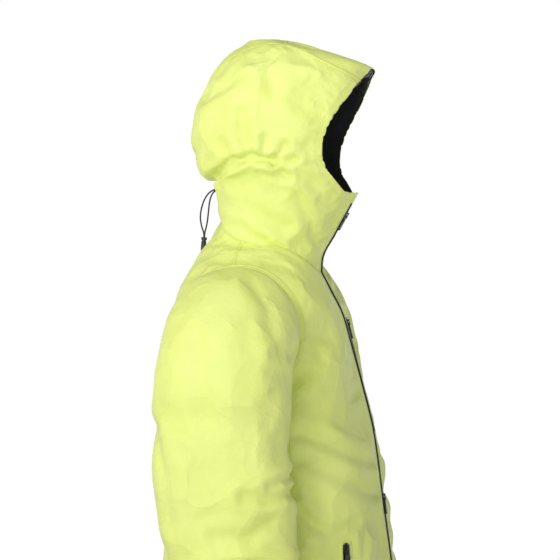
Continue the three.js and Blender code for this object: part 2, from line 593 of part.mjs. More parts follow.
// The side view of the face opening, from the brim's tip down to the chin.
const FACE = [
  [-168, 247], [-152, 222], [-136, 195], [-120, 170], [-108, 148], [-100, 124], [-99, 104], [-104, 86], [-115, 69],
  [-128, 50], [-400, 30], [-400, 247],
];
const faceCut = prism(FACE, -FAR, FAR);
const seamLine = (gap) => {
  const { backY, backZ, frontY, frontZ, slope } = BRIM_SEAM;
  const endY = -400;
  return [[backY + gap, 400], [backY + gap, backZ - gap], [frontY, frontZ - gap], [endY, frontZ - gap + slope * (endY - frontY)]];
};
const brimSide = prism([...seamLine(0), [-400, 400]], -FAR, FAR);
const behindBrim = prism([...seamLine(SEAM), [-400, -400], [400, -400], [400, 400]], -FAR, FAR);
const hoodShell = cap(0, FABRIC).subtract(faceCut);
const crown = box(-CROWN_STRIP_HALF, CROWN_STRIP_HALF, -FAR, FAR, -FAR, FAR);
add('hood_brim', hoodShell.intersect(brimSide), LIME);
add('hood_centre_panel', hoodShell.intersect(behindBrim).intersect(crown), LIME);
for (const [side, sign] of SIDES) {
  const panel = hoodShell.intersect(behindBrim).intersect(beside(sign, CROWN_STRIP_HALF + SEAM));
  add(`hood_side_${side}`, panel, LIME);
}

// The stiffener under the brim is moulded and shows as a black inner face along the opening's edge.
const stiffener = cap(FABRIC + LAYER, FABRIC + LAYER + 1.6).subtract(faceCut);
const brimInner = prism([[-92, 400], [-92, 240], [-146, 214], [-400, 105], [-400, 400]], -FAR, FAR);
add('brim_stiffener', stiffener.intersect(brimInner), LINING);

// ---------------------------------------------------------------- cinch of the hood

// A tunnel inside the collar's back holds the cinch cord, whose loop comes out through an eyelet at the nape.
const EYELET = { y: 82, z: 58, hole: 3.4, barrel: 4.2, flange: 6 };
const cinchLevel = COLLAR_LEVEL - 1.22;
const tunnelFloor = FABRIC + LAYER + CINCH_CORD + 1.4;
const cordHole = cylinderAlongY(EYELET.barrel + LAYER, 60, 100, 0, EYELET.z, 24);
const cinchTunnel = layer(BODY_LEVELS, cinchLevel - 0.32, cinchLevel + 0.32, FABRIC + LAYER, tunnelFloor + 1)
  .subtract(layer(BODY_LEVELS, cinchLevel - 0.25, cinchLevel + 0.25, FABRIC, tunnelFloor))
  .intersect(box(-FAR, FAR, 20, FAR, -FAR, FAR));
add('cinch_tunnel', cinchTunnel, LIME);
add('collar_back', collarBack.subtract(cordHole), LIME);
const eyelet = cylinderAlongY(EYELET.barrel, EYELET.y - 4, EYELET.y + 0.2, 0, EYELET.z, 24)
  .add(cylinderAlongY(EYELET.flange, EYELET.y, EYELET.y + 1, 0, EYELET.z, 24))
  .subtract(cylinderAlongY(EYELET.hole, 60, 100, 0, EYELET.z, 24));
add('cinch_eyelet', eyelet, BLACK_PLASTIC);

const cinchRing = between(BODY_LEVELS, cinchLevel);
const cinchPoint = (phi) => {
  const p = levelPoint(cinchRing, phi);
  const along = levelPoint(cinchRing, phi + 0.02).sub(levelPoint(cinchRing, phi - 0.02)).setZ(0).normalize();
  return p.addScaledVector(new THREE.Vector3(-along.y, along.x, 0), (FABRIC + LAYER + tunnelFloor) / 2 + 0.1).toArray();
};
const strandX = CINCH_CORD / 2 + 0.3;
const STRAND_ROUTES = {
  right: [[92, 57], [101, 51], [108, 40], [112.5, 26], [114, 12], [112, -1], [109, -10], [108.1, -16], [108, -22]],
  left: [[90, 56], [96, 49], [99.5, 38], [101, 26], [102.5, 12], [104.4, 0], [106.8, -9], [107.8, -15], [108, -22]],
};
const CORD_END_TOP = [0, 108, -19];
for (const [side, sign] of SIDES) {
  const held = Array.from({ length: 12 }, (_, k) => cinchPoint(sign * (1.75 + (Math.PI - 0.09 - 1.75) * (k / 11))));
  add(`cinch_cord_${side}`, cordAlong(held, CINCH_CORD), BLACK_CORD);
  const free = STRAND_ROUTES[side].map(([y, z]) => [sign * strandX, y, z]);
  const route = [[sign * strandX, EYELET.y - 3, EYELET.z], [sign * strandX, EYELET.y + 3, EYELET.z], ...free];
  add(`loop_strand_${side}`, cordAlong(route, CINCH_CORD), BLACK_CORD);
}
const { radius: endRadius, length: endLength } = CORD_END;
const endProfile = [
  [0, 0], [endRadius - 1.2, 0], [endRadius - 0.6, 1.5], [endRadius - 0.4, endLength - 7],
  [endRadius - 1.4, endLength - 6], [endRadius - 1.4, endLength - 5], [endRadius, endLength - 4.4],
  [endRadius, endLength - 0.6], [endRadius - 0.6, endLength], [0, endLength],
];
const endLathe = new THREE.LatheGeometry(endProfile.map(([r, h]) => new THREE.Vector2(r, h)), 20);
const endUpright = new THREE.Matrix4().makeRotationX(Math.PI / 2 + 0.09);
const endAt = new THREE.Matrix4()
  .makeTranslation(CORD_END_TOP[0], CORD_END_TOP[1], CORD_END_TOP[2])
  .multiply(endUpright)
  .multiply(new THREE.Matrix4().makeTranslation(0, -endLength, 0));
const socket = box(-strandX - 1.7, strandX + 1.7, -1.9, 1.9, -5, 5);
const socketAt = new THREE.Matrix4().makeTranslation(...CORD_END_TOP);
add('cord_end', solidOf(endLathe, endAt).subtract(placed(socket, socketAt)), BLACK_PLASTIC);

// The hanger loop is sewn to the inside of the collar at two places and stands off it between them.
const loopZ = 12;
const loopFace = 62;
const loopHalf = LOOP_TAPE.length / 2;
const loopEnd = (x) => box(x - 3, x + 3, loopFace, 100, loopZ - LOOP_TAPE.width / 2, loopZ + LOOP_TAPE.width / 2);
const hangerLoop = box(
  -loopHalf, loopHalf, loopFace, loopFace + LOOP_TAPE.thickness,
  loopZ - LOOP_TAPE.width / 2, loopZ + LOOP_TAPE.width / 2,
).add(loopEnd(loopHalf - 3)).add(loopEnd(3 - loopHalf)).intersect(insideBody(FABRIC + LAYER, COLLAR_LEVEL));
add('hanger_loop', hangerLoop, BLACK_TAPE);

// ---------------------------------------------------------------- sleeves

const upperRing = ([angle, innerX, innerZ, across, y, halfDepth, roundness]) => {
  const theta = (angle * Math.PI) / 180;
  const out = new THREE.Vector3(Math.sin(theta), 0, Math.cos(theta));
  const centre = new THREE.Vector3(innerX, y, innerZ).addScaledVector(out, across / 2);
  const power = 2 / roundness;
  const bend = (value) => Math.sign(value) * Math.abs(value) ** power;
  return Array.from({ length: SLEEVE_AROUND }, (_, k) => {
    const phi = (2 * Math.PI * k) / SLEEVE_AROUND;
    const p = centre.clone().addScaledVector(out, (across / 2) * bend(Math.cos(phi)));
    p.y -= halfDepth * bend(Math.sin(phi));
    return p;
  });
};

const SLEEVE_AROUND = 20;
const neckRadius = ARMHOLE.radius - ARMHOLE_PLAY / 2;
const shoulderRow = (angle, innerX, innerZ, across, share) => [
  angle, innerX, innerZ, across,
  ARMHOLE.y + (SLEEVE.y - ARMHOLE.y) * share, neckRadius + (SLEEVE.halfDepth - neckRadius) * share, 2 + 0.3 * share,
];
const underarmZ = ARMHOLE.z - neckRadius;
const UPPER_ROWS = [
  shoulderRow(0, 138, underarmZ, 2 * neckRadius, 0),
  shoulderRow(0, 187, underarmZ, 2 * neckRadius, 0),
  shoulderRow(18, 188, underarmZ - 3, 182, 0.15),
  shoulderRow(36, 190, underarmZ - 7, 170, 0.35),
  shoulderRow(54, 192, underarmZ - 12, 154, 0.6),
  shoulderRow(72, 194, underarmZ - 18, 138, 0.85),
  shoulderRow(90, 196, underarmZ - 26, 2 * SLEEVE.halfWidth, 1),
  [90, 199, -345, 2 * SLEEVE.halfWidth, SLEEVE.y, SLEEVE.halfDepth, 2.4],
  [90, 200, ELBOW_Z + 20, 2 * SLEEVE.halfWidth, ELBOW_Y + 1, SLEEVE.halfDepth, 2.5],
  [90, 200, ELBOW_Z - 30, 2 * SLEEVE.halfWidth, ELBOW_Y, SLEEVE.halfDepth, 2.5],
  [90, 200, ELBOW_Z - 75, 2 * SLEEVE.halfWidth, ELBOW_Y, SLEEVE.halfDepth, 2.5],
];
const elbowX = 200 + SLEEVE.halfWidth;
const lowerHalfWidth = SLEEVE.halfWidth - FABRIC - ELBOW_SIDE_PLAY;
const lowerRow = (z, halfWidth, halfDepth, y, x, roundness) => [90, x - halfWidth, z, 2 * halfWidth, y, halfDepth, roundness];
const wristZ = ELBOW_Z - LOWER_SLEEVE.length + 14;
const LOWER_ROWS = [
  lowerRow(ELBOW_Z + 75, lowerHalfWidth - 4, LOWER_SLEEVE.halfDepth - 4, ELBOW_Y, elbowX, 2.1),
  lowerRow(ELBOW_Z + 30, lowerHalfWidth - 2, LOWER_SLEEVE.halfDepth - 1, ELBOW_Y, elbowX, 2.1),
  lowerRow(ELBOW_Z, lowerHalfWidth, LOWER_SLEEVE.halfDepth, ELBOW_Y, elbowX, 2.1),
  lowerRow(ELBOW_Z - 40, lowerHalfWidth, LOWER_SLEEVE.halfDepth, ELBOW_Y - 5, elbowX, 2.15),
  lowerRow(ELBOW_Z - 100, lowerHalfWidth - 2, LOWER_SLEEVE.halfDepth - 1, 5, elbowX + 3, 2.2),
  lowerRow(ELBOW_Z - 150, lowerHalfWidth - 4, 96, -4, elbowX + 5, 2.2),
  lowerRow(ELBOW_Z - 200, 51, 86, -20, elbowX + 7, 2.2),
  lowerRow(wristZ, CUFF.halfWidth + 1, CUFF.halfDepth + 4, CUFF.y + 6, elbowX + 9, 2.2),
];
const cuffEndZ = wristZ - CUFF.length;
const CUFF_ROWS = [
  lowerRow(wristZ - SEAM, CUFF.halfWidth + 1, CUFF.halfDepth + 4, CUFF.y + 6, elbowX + 9, 2.2),
  lowerRow(cuffEndZ, CUFF.halfWidth, CUFF.halfDepth, CUFF.y, elbowX + 10, 2.2),
];
const smoothRings = (rows, steps) => fine(rows, steps).map(upperRing);

// The elbow's two edges are slanted, so that the inside of the elbow opens as it bends.
const belowSlant = (frontZ, backZ) =>
  prism(
    [[-300, ELBOW_Z + frontZ - (backZ - frontZ) * 0.95], [ELBOW_Y - 104, ELBOW_Z + frontZ],
     [ELBOW_Y + 104, ELBOW_Z + backZ], [300, ELBOW_Z + backZ + (backZ - frontZ) * 0.85],
     [300, -1200], [-300, -1200]],
    -FAR, FAR,
  );
const armholePassage = cylinderAlongX(ARMHOLE.radius, -FAR, FAR, ARMHOLE.y, ARMHOLE.z, 64);
const upperSleeve = tubeShell(smoothRings(UPPER_ROWS, 1))
  .subtract(belowSlant(46, -65))
  .subtract(insideBody(-LAYER).subtract(armholePassage));
const lowerSleeve = tubeShell(smoothRings(LOWER_ROWS, 1)).intersect(belowSlant(60, 20));
const cuffRings = smoothRings(CUFF_ROWS, 1);
const cuff = tubeShell(cuffRings);

// The tab of the cuff lies round its outer side, sewn at the front end and held by hook and loop.
const tabRings = inset(cuffRings, -LAYER - TAB.thickness);
const tabZ = wristZ - CUFF.length / 2;
const tab = tubeShell(tabRings, TAB.thickness).intersect(
  box(elbowX + 10, FAR, TAB.frontY, TAB.backY, tabZ - TAB.width / 2, tabZ + TAB.width / 2),
);
const onSide = (solid, sign) => (sign < 0 ? solid.mirror([1, 0, 0]) : solid);
for (const [side, sign] of SIDES) {
  add(`sleeve_upper_${side}`, onSide(upperSleeve, sign), LIME);
  add(`sleeve_lower_${side}`, onSide(lowerSleeve, sign), LIME);
  add(`cuff_${side}`, onSide(cuff, sign), LIME);
  add(`cuff_tab_${side}`, onSide(tab, sign), LIME);
}

export default jacket;
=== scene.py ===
"""A lime hardshell jacket: hood up and front zip closed, in the shape that it takes on a wearer.

Sizes are in millimetres where a name or a table says so, and in metres everywhere else.
+Z is up, -Y is the front and -X is the wearer's right. The origin is the base of the neck.
"""
import math

import bmesh
import bpy
import numpy as np
from mathutils import Matrix, Vector, noise
from mathutils.bvhtree import BVHTree
from mathutils.kdtree import KDTree


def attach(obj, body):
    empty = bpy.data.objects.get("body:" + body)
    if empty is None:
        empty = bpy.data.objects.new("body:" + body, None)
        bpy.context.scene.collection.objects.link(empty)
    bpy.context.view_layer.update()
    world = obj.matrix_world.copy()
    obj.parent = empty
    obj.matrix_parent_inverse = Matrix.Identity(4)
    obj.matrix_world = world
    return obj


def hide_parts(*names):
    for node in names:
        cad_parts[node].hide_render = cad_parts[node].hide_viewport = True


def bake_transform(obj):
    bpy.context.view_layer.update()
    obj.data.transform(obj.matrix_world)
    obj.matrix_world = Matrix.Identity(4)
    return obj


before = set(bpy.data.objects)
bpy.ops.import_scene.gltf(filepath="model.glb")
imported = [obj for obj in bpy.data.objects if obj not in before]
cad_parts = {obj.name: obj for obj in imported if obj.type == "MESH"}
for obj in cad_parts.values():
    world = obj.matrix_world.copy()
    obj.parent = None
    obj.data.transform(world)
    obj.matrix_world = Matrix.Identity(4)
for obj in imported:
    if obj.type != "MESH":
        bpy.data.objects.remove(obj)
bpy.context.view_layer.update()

MM = 0.001
SIDES = (("right", -1), ("left", 1))

# ------------------------------------------------------------------ camera

VIEW_CENTRE = Vector((0, -0.016, -0.088))
VIEW_AZIMUTH = math.radians(280)
VIEW_DISTANCE = 3.0
LENS = 120.5


def make_camera():
    """A long lens from the wearer's right, a little in front of square on."""
    camera = bpy.data.objects.new("camera", bpy.data.cameras.new("camera"))
    bpy.context.scene.collection.objects.link(camera)
    away = Vector((math.sin(VIEW_AZIMUTH), -math.cos(VIEW_AZIMUTH), 0))
    camera.location = VIEW_CENTRE + away * VIEW_DISTANCE
    camera.rotation_mode = "QUATERNION"
    camera.rotation_quaternion = (-away).to_track_quat("-Z", "Y")
    camera.data.lens = LENS
    camera.data.sensor_width = 36
    bpy.context.scene.camera = camera


make_camera()

# ------------------------------------------------------------------ materials


def linear(hex_colour):
    """An sRGB hex colour as linear RGBA."""
    parts = [int(hex_colour[k:k + 2], 16) / 255 for k in (1, 3, 5)]
    return [p / 12.92 if p <= 0.04045 else ((p + 0.055) / 1.055) ** 2.4 for p in parts] + [1.0]


class Finish:
    """A material under construction, with one way of adding a node."""

    def __init__(self, name, colour, roughness, **sockets):
        self.material = bpy.data.materials.new(name)
        self.material.use_nodes = True
        self.tree = self.material.node_tree
        self.shader = self.tree.nodes["Principled BSDF"]
        self.shader.inputs["Base Color"].default_value = linear(colour)
        self.shader.inputs["Roughness"].default_value = roughness
        for key, value in sockets.items():
            self.shader.inputs[key.replace("_", " ").title().replace("Ior", "IOR")].default_value = value

    def node(self, kind, inputs=(), **settings):
        """Adds a node; an input is a value or another node's output."""
        made = self.tree.nodes.new(kind)
        for key, value in settings.items():
            setattr(made, key, value)
        for key, value in dict(inputs).items():
            if isinstance(value, bpy.types.NodeSocket):
                self.tree.links.new(value, made.inputs[key])
            else:
                made.inputs[key].default_value = value
        return made

    def link(self, output, socket):
        self.tree.links.new(output, self.shader.inputs[socket])


def place(finish, scale=(1, 1, 1)):
    """The object's own coordinates, stretched."""
    where = finish.node("ShaderNodeTexCoord")
    mapping = finish.node("ShaderNodeMapping", {"Vector": where.outputs["Object"], "Scale": scale})
    return mapping.outputs["Vector"]


def tinted(finish, amount, low, high):
    """Mixes the base colour between two hex colours by an output."""
    ramp = finish.node("ShaderNodeMix", {"Factor": amount}, data_type="RGBA")
    ramp.inputs[6].default_value = linear(low)
    ramp.inputs[7].default_value = linear(high)
    finish.link(ramp.outputs[2], "Base Color")


def bumped(finish, height, millimetres, after=None):
    """A bump from a height that runs from 0 to 1, this many millimetres high."""
    inputs = {"Height": height, "Distance": millimetres * MM, "Strength": 1.0}
    if after is not None:
        inputs["Normal"] = after.outputs["Normal"]
    return finish.node("ShaderNodeBump", inputs)


def woven(finish, at, pitch_mm):
    """Two sets of threads crossing, each a wave of this pitch: the height of a plain weave."""
    scale = 1 / (pitch_mm * MM) * math.pi / 10 / 2
    threads = [
        finish.node("ShaderNodeTexWave", {"Vector": at, "Scale": scale, "Distortion": 0.6, "Detail": 1.0},
                    bands_direction=way).outputs["Fac"]
        for way in ("DIAGONAL", "Z")
    ]
    return finish.node("ShaderNodeMath", {0: threads[0], 1: threads[1]}, operation="MULTIPLY").outputs[0]


def laminate(name, low, high, roughness):
    """Woven nylon face on a membrane, calendered: a dry, faintly silky face with crisp small creases."""
    finish = Finish(name, high, roughness, sheen_weight=0.1, sheen_roughness=0.4, specular_ior_level=0.4)
    at = place(finish)
    patches = finish.node(
        "ShaderNodeTexNoise", {"Vector": at, "Scale": 9.0, "Detail": 3.0, "Roughness": 0.55},
    )
    tinted(finish, patches.outputs["Fac"], low, high)
    rough = finish.node(
        "ShaderNodeMapRange", {"Value": patches.outputs["Fac"], 3: roughness - 0.05, 4: roughness + 0.07},
    )
    finish.link(rough.outputs[0], "Roughness")
    # Threads 0.25 mm apart are too fine to show, so they are drawn 1.8 mm apart.
    weave = bumped(finish, woven(finish, at, 1.8), 0.05)
    creases = finish.node(
        "ShaderNodeTexNoise",
        {"Vector": at, "Scale": 38.0, "Detail": 4.0, "Roughness": 0.5, "Distortion": 0.7},
    )
    crumple = bumped(finish, creases.outputs["Fac"], 1.5, after=weave)
    # The stiff membrane breaks into short straight creases a few centimetres apart.
    breaks = finish.node(
        "ShaderNodeTexNoise",
        {"Vector": at, "Scale": 13.0, "Detail": 2.0, "Roughness": 0.5, "Offset": 1.0, "Gain": 1.0},
        noise_type="RIDGED_MULTIFRACTAL", normalize=False,
    )
    sharp = bumped(finish, breaks.outputs["Fac"], 2.6, after=crumple)
    finish.link(sharp.outputs["Normal"], "Normal")
    return finish.material


def tricot():
    """The knitted backer inside the laminate: black, matt, in fine upright wales."""
    finish = Finish("tricot_backer", "#17181b", 0.9, sheen_weight=0.3, sheen_roughness=0.5)
    at = place(finish)
    # Wales 0.7 mm apart, drawn 2 mm apart so that they show.
    wales = finish.node(
        "ShaderNodeTexWave", {"Vector": at, "Scale": 160.0, "Distortion": 1.2, "Detail": 1.0},
        bands_direction="DIAGONAL",
    )
    tinted(finish, wales.outputs["Fac"], "#101114", "#26282d")
    finish.link(bumped(finish, wales.outputs["Fac"], 0.25).outputs["Normal"], "Normal")
    return finish.material


def zip_tape_weave():
    """Polyester zip tape with a black polyurethane film over it: tight ribs under a low gloss."""
    finish = Finish("coated_zip_tape", "#17181a", 0.42, coat_weight=0.25, coat_roughness=0.3)
    at = place(finish)
    ribs = finish.node(
        "ShaderNodeTexWave", {"Vector": at, "Scale": 210.0, "Distortion": 0.4}, bands_direction="Z",
    )
    tinted(finish, ribs.outputs["Fac"], "#101113", "#1d1e21")
    finish.link(bumped(finish, ribs.outputs["Fac"], 0.12).outputs["Normal"], "Normal")
    return finish.material


def moulded_nylon():
    """Injection-moulded black nylon: fine spark-eroded grain, edges a little polished by handling."""
    finish = Finish("moulded_nylon", "#1a1b1d", 0.38, coat_weight=0.1)
    at = place(finish)
    grain = finish.node("ShaderNodeTexNoise", {"Vector": at, "Scale": 1600.0, "Detail": 2.0})
    wear = finish.node("ShaderNodeTexNoise", {"Vector": at, "Scale": 120.0, "Detail": 3.0})
    tinted(finish, wear.outputs["Fac"], "#141516", "#242629")
    gloss = finish.node("ShaderNodeMapRange", {"Value": wear.outputs["Fac"], 3: 0.28, 4: 0.5})
    finish.link(gloss.outputs[0], "Roughness")
    finish.link(bumped(finish, grain.outputs["Fac"], 0.06).outputs["Normal"], "Normal")
    return finish.material


def coil_nylon():
    """Extruded nylon monofilament, wound into a coil: smooth and slightly shiny."""
    finish = Finish("zip_coil_filament", "#111214", 0.3, specular_ior_level=0.6)
    at = place(finish)
    flecks = finish.node("ShaderNodeTexNoise", {"Vector": at, "Scale": 700.0, "Detail": 2.0})
    tinted(finish, flecks.outputs["Fac"], "#0c0d0e", "#1c1d20")
    return finish.material


def braided_cord():
    """Braided polyester elastic cord: round, with slanting strands across it."""
    finish = Finish("braided_cord", "#18191c", 0.62, sheen_weight=0.25)
    at = place(finish)
    # Strands 0.8 mm across, which cross on the surface.
    one = finish.node("ShaderNodeTexWave", {"Vector": at, "Scale": 330.0}, bands_direction="DIAGONAL")
    turned = place(finish, (-1, 1, 1))
    two = finish.node("ShaderNodeTexWave", {"Vector": turned, "Scale": 330.0}, bands_direction="DIAGONAL")
    both = finish.node(
        "ShaderNodeMath", {0: one.outputs["Fac"], 1: two.outputs["Fac"]}, operation="MULTIPLY",
    )
    tinted(finish, both.outputs[0], "#0e0f11", "#2c2e33")
    finish.link(bumped(finish, both.outputs[0], 0.25).outputs["Normal"], "Normal")
    return finish.material


def sewing_thread():
    """Spun polyester thread in the fabric's colour, a shade deeper."""
    finish = Finish("sewing_thread", "#cfd66a", 0.6, sheen_weight=0.3)
    at = place(finish)
    twist = finish.node("ShaderNodeTexWave", {"Vector": at, "Scale": 400.0}, bands_direction="DIAGONAL")
    tinted(finish, twist.outputs["Fac"], "#b9c254", "#dfe67c")
    return finish.material


LIME = laminate("lime_laminate", "#dae676", "#e5ef90", 0.5)
SEAM_LIME = laminate("lime_laminate_folded", "#d5e16f", "#dfea82", 0.46)
BACKER = tricot()
TAPE = zip_tape_weave()
PLASTIC = moulded_nylon()
COIL = coil_nylon()
CORD = braided_cord()
THREAD = sewing_thread()

# ------------------------------------------------------------------ lofted surfaces
# A level is [front z, side z, back z, front y, back y, half width, roundness], in millimetres.

NECK_LEVEL = [-75, -34, 5, -83, 77, 86, 2.4]
HEM = [-757, -761, -765, -226, 166, 204, 2.3]
WAIST = [-330, -330, -330, -167, 159, 186, 2.5]
SKIRT_STEPS = 4
SKIRT = [list(np.add(HEM, np.subtract(WAIST, HEM) * k / SKIRT_STEPS)) for k in range(SKIRT_STEPS + 1)]
BODY_LEVELS = SKIRT + [
    [-256, -262, -256, -149, 170, 187, 2.7],
    [-190, -168, -172, -131, 150, 187, 3],
    [-142, -92, -104, -117, 126, 185, 2.9],
    [-104, -58, -44, -98, 100, 136.5, 2.6],
    NECK_LEVEL,
]
HOOD_LEVELS = [
    NECK_LEVEL,
    [-48, -14, 20, -86, 76, 89, 2.4],
    [-17, 26, 40, -103.3, 78, 94, 2.4],
    [18, 66, 62, -122.7, 80, 100, 2.45],
    [51, 84, 71, -141, 88, 103.5, 2.5],
    [62, 93, 81, -146, 103, 104.5, 2.6],
    [100, 108, 104, -152, 115, 107, 2.8],
    [136, 136, 136, -154, 121, 112, 2.8],
    [170, 170, 170, -157, 117, 114, 2.7],
    [207, 207, 208, -161, 107, 110, 2.5],
    [233, 238, 242, -164, 90, 99, 2.4],
    [248, 262, 271, -166, 65, 79, 2.3],
    [268, 283, 289, -108, 38, 50, 2.2],
    [286, 294, 297, -52, 20, 22, 2],
    [297, 298.5, 299, -18, -6, 3, 2],
]
ARMHOLE = {"y": 18, "z": -165, "radius": 95.5}
SIDE_SEAM_Y = 30
CROWN_STRIP_HALF = 52
ZIP_SLOT_HALF = 6
ZIP_CLEAR = 16  # no stitches lie nearer the middle than this, so that the sliders pass
CHIN_Z = 51
# The side view of the face opening, as (y, z), from the brim's tip down to the chin.
FACE = [
    (-168, 247), (-152, 222), (-136, 195), (-120, 170), (-108, 148), (-100, 124), (-99, 104), (-104, 86),
    (-115, 69), (-128, 50), (-400, 30), (-400, 247),
]
BRIM_SEAM = [(-30, 400), (-30, 286), (-142, 230), (-400, 65)]
CLOTH_STEP = 7.0
FACE_STEP = 5.0


def between(rows, s):
    """Smooth in-between rows of a table at places s, counted in rows."""
    rows, s = np.asarray(rows, float), np.atleast_1d(s).astype(float)
    i = np.clip(np.floor(s).astype(int), 0, len(rows) - 2)
    t = (s - i)[:, None]

    def row(k):
        return rows[np.clip(k, 0, len(rows) - 1)]

    here, there = row(i), row(i + 1)
    leave = np.where((i > 0)[:, None], (there - row(i - 1)) / 2, there - here)
    arrive = np.where((i + 2 < len(rows))[:, None], (row(i + 2) - here) / 2, there - here)
    t2, t3 = t * t, t * t * t
    ends = (2 * t3 - 3 * t2 + 1) * here + (t3 - 2 * t2 + t) * leave
    return ends + (3 * t2 - 2 * t3) * there + (t3 - t2) * arrive


def rounded(value, roundness):
    return np.sign(value) * np.abs(value) ** (2 / roundness)


def level_points(levels, s, phi):
    """Points in metres; phi is 0 in front and a quarter turn at +X."""
    columns = [c[:, None] for c in between(levels, s).T]
    front_z, side_z, back_z, front_y, back_y, half_width, roundness = columns
    c, sine = np.cos(phi), np.sin(phi)
    x = half_width * rounded(sine, roundness)
    y = (front_y + back_y) / 2 - (back_y - front_y) / 2 * rounded(c, roundness)
    z = side_z + (np.where(c > 0, front_z, back_z) - side_z) * c * c
    return np.stack([x + 0 * z, y + 0 * z, z], -1) * MM


def even_rings(make, first, last, step, columns):
    """A grid of points: rings at even distances, with even distances round each ring.

    make(s, phi) gives points of rings s at angles phi.
    """
    angles = np.linspace(0, 2 * math.pi, 721)
    dense = np.linspace(first, last, 400)
    rings = make(dense, np.broadcast_to(angles, (len(dense), len(angles))))
    apart = np.linalg.norm(np.diff(rings, axis=0), axis=-1)
    run = np.concatenate([[0], np.cumsum(apart.mean(1) * 0.5 + apart.max(1) * 0.5)])
    count = max(4, int(run[-1] / (step * MM)))
    s = np.interp(np.linspace(0, run[-1], count + 1), run, dense)
    rings = make(s, np.broadcast_to(angles, (len(s), len(angles))))
    steps = np.linalg.norm(np.diff(rings, axis=1), axis=-1)
    length = np.concatenate([np.zeros((len(s), 1)), np.cumsum(steps, 1)], 1)
    share = np.linspace(0, 1, columns, endpoint=False)
    phi = np.array([np.interp(share * run_round[-1], run_round, angles) for run_round in length])
    return make(s, phi), s, phi


def ring_faces(rows, columns):
    """Quads of a grid whose columns close into rings, facing outwards for rings that rise."""
    k = np.arange((rows - 1) * columns)
    i, j = k // columns, k % columns
    right = (j + 1) % columns
    low, high = i * columns, (i + 1) * columns
    return np.stack([low + j, low + right, high + right, high + j], 1)


def vertex_normals(points, quads):
    """Unit normals of a grid mesh."""
    across = points[quads[:, 2]] - points[quads[:, 0]]
    along = points[quads[:, 3]] - points[quads[:, 1]]
    face = np.cross(across, along)
    normals = np.zeros_like(points)
    for k in range(4):
        np.add.at(normals, quads[:, k], face)
    return normals / np.maximum(np.linalg.norm(normals, axis=1, keepdims=True), 1e-12)


def trimmed(points, faces, field):
    """Cuts away where field(points) is negative. The new edge runs along the line where it is 0.

    Returns points, faces and a mask of the points on the new edge.
    """
    value = field(points)
    edges = np.concatenate([faces[:, [k, (k + 1) % 4]] for k in range(4)])
    a, b = edges[(value[edges[:, 0]] > 0) != (value[edges[:, 1]] > 0)].T
    a, b = np.where(value[a] > 0, a, b), np.where(value[a] > 0, b, a)
    share = value[a] / (value[a] - value[b])
    near = share < 0.5
    moved = np.where(near, a, b)
    target = points[a] + (points[b] - points[a]) * share[:, None]
    order = np.argsort(-np.where(near, share, 1 - share))
    points = points.copy()
    points[moved[order]] = target[order]
    on_edge = np.zeros(len(points), bool)
    on_edge[moved] = True
    keep = (value > 0) | on_edge
    inside = (np.where(on_edge, 0, value)[faces].sum(1) >= 0)
    made = [tuple(f[keep[f]]) for f, ok in zip(faces, inside) if ok and keep[f].sum() >= 3]
    return points, made, on_edge


def to_line(y, z, corners):
    """Distance in a side view from points to a line through corners, all in millimetres."""
    best = np.full(y.shape, 1e9)
    for (y0, z0), (y1, z1) in zip(corners, corners[1:]):
        dy, dz = y1 - y0, z1 - z0
        t = np.clip(((y - y0) * dy + (z - z0) * dz) / (dy * dy + dz * dz), 0, 1)
        best = np.minimum(best, np.hypot(y - y0 - t * dy, z - z0 - t * dz))
    return best


def outside_polygon(y, z, corners):
    """Distance outside a polygon in a side view, negative inside, in millimetres."""
    inside = np.zeros(y.shape, bool)
    for (y0, z0), (y1, z1) in zip(corners, corners[1:] + corners[:1]):
        if z0 == z1:
            continue
        crosses = ((z0 > z) != (z1 > z)) & (y < (y1 - y0) * (z - z0) / (z1 - z0) + y0)
        inside ^= crosses
    gap = to_line(y, z, corners + corners[:1])
    return np.where(inside, -gap, gap)


# ------------------------------------------------------------------ folds

FOLD_DEPTH = 1.5


def fold(points, line, depth, width, side=0):
    """The height of a fold along a side-view line: a groove with a soft ridge below it.

    line is (y, z) in millimetres, side is -1 or +1 for one side of the jacket or 0 for both.
    """
    y, z = points[:, 1] / MM, points[:, 2] / MM
    gap = to_line(y, z, line)
    groove = -depth * FOLD_DEPTH * np.exp(-((gap / width) ** 2))
    ridge = depth * FOLD_DEPTH * 0.5 * np.exp(-(((gap - 1.9 * width) / (1.2 * width)) ** 2))
    if side:
        sideways = np.clip(points[:, 0] * side / (20 * MM), 0, 1)
        return (groove + ridge) * sideways
    return groove + ridge


def waves(points, size, seed, stretch=(1, 1, 1)):
    """Smooth noise from -1 to 1 over points, with lumps of this size in millimetres."""
    scale = np.array(stretch) / (size * MM)
    shift = Vector((seed * 7.3, seed * 3.1, seed * 5.7))
    return np.array([noise.noise(Vector(p) + shift) for p in points * scale])


# ------------------------------------------------------------------ meshes


def new_piece(name, points, faces, *materials):
    """A smooth-shaded mesh object in the scene."""
    mesh = bpy.data.meshes.new(name)
    mesh.from_pydata(np.asarray(points).tolist(), [], [tuple(map(int, f)) for f in faces])
    piece = bpy.data.objects.new(name, mesh)
    bpy.context.scene.collection.objects.link(piece)
    for material in materials:
        mesh.materials.append(material)
    mesh.polygons.foreach_set("use_smooth", [True] * len(mesh.polygons))
    return piece


def drop_loose(points, faces, *masks):
    """Leaves out points that no face uses."""
    used = np.unique(np.concatenate([np.asarray(f) for f in faces]))
    number = np.full(len(points), -1)
    number[used] = np.arange(len(used))
    return points[used], [tuple(number[list(f)]) for f in faces], *[m[used] for m in masks]


def coordinates(piece):
    co = np.empty(len(piece.data.vertices) * 3)
    piece.data.vertices.foreach_get("co", co)
    return co.reshape(-1, 3)


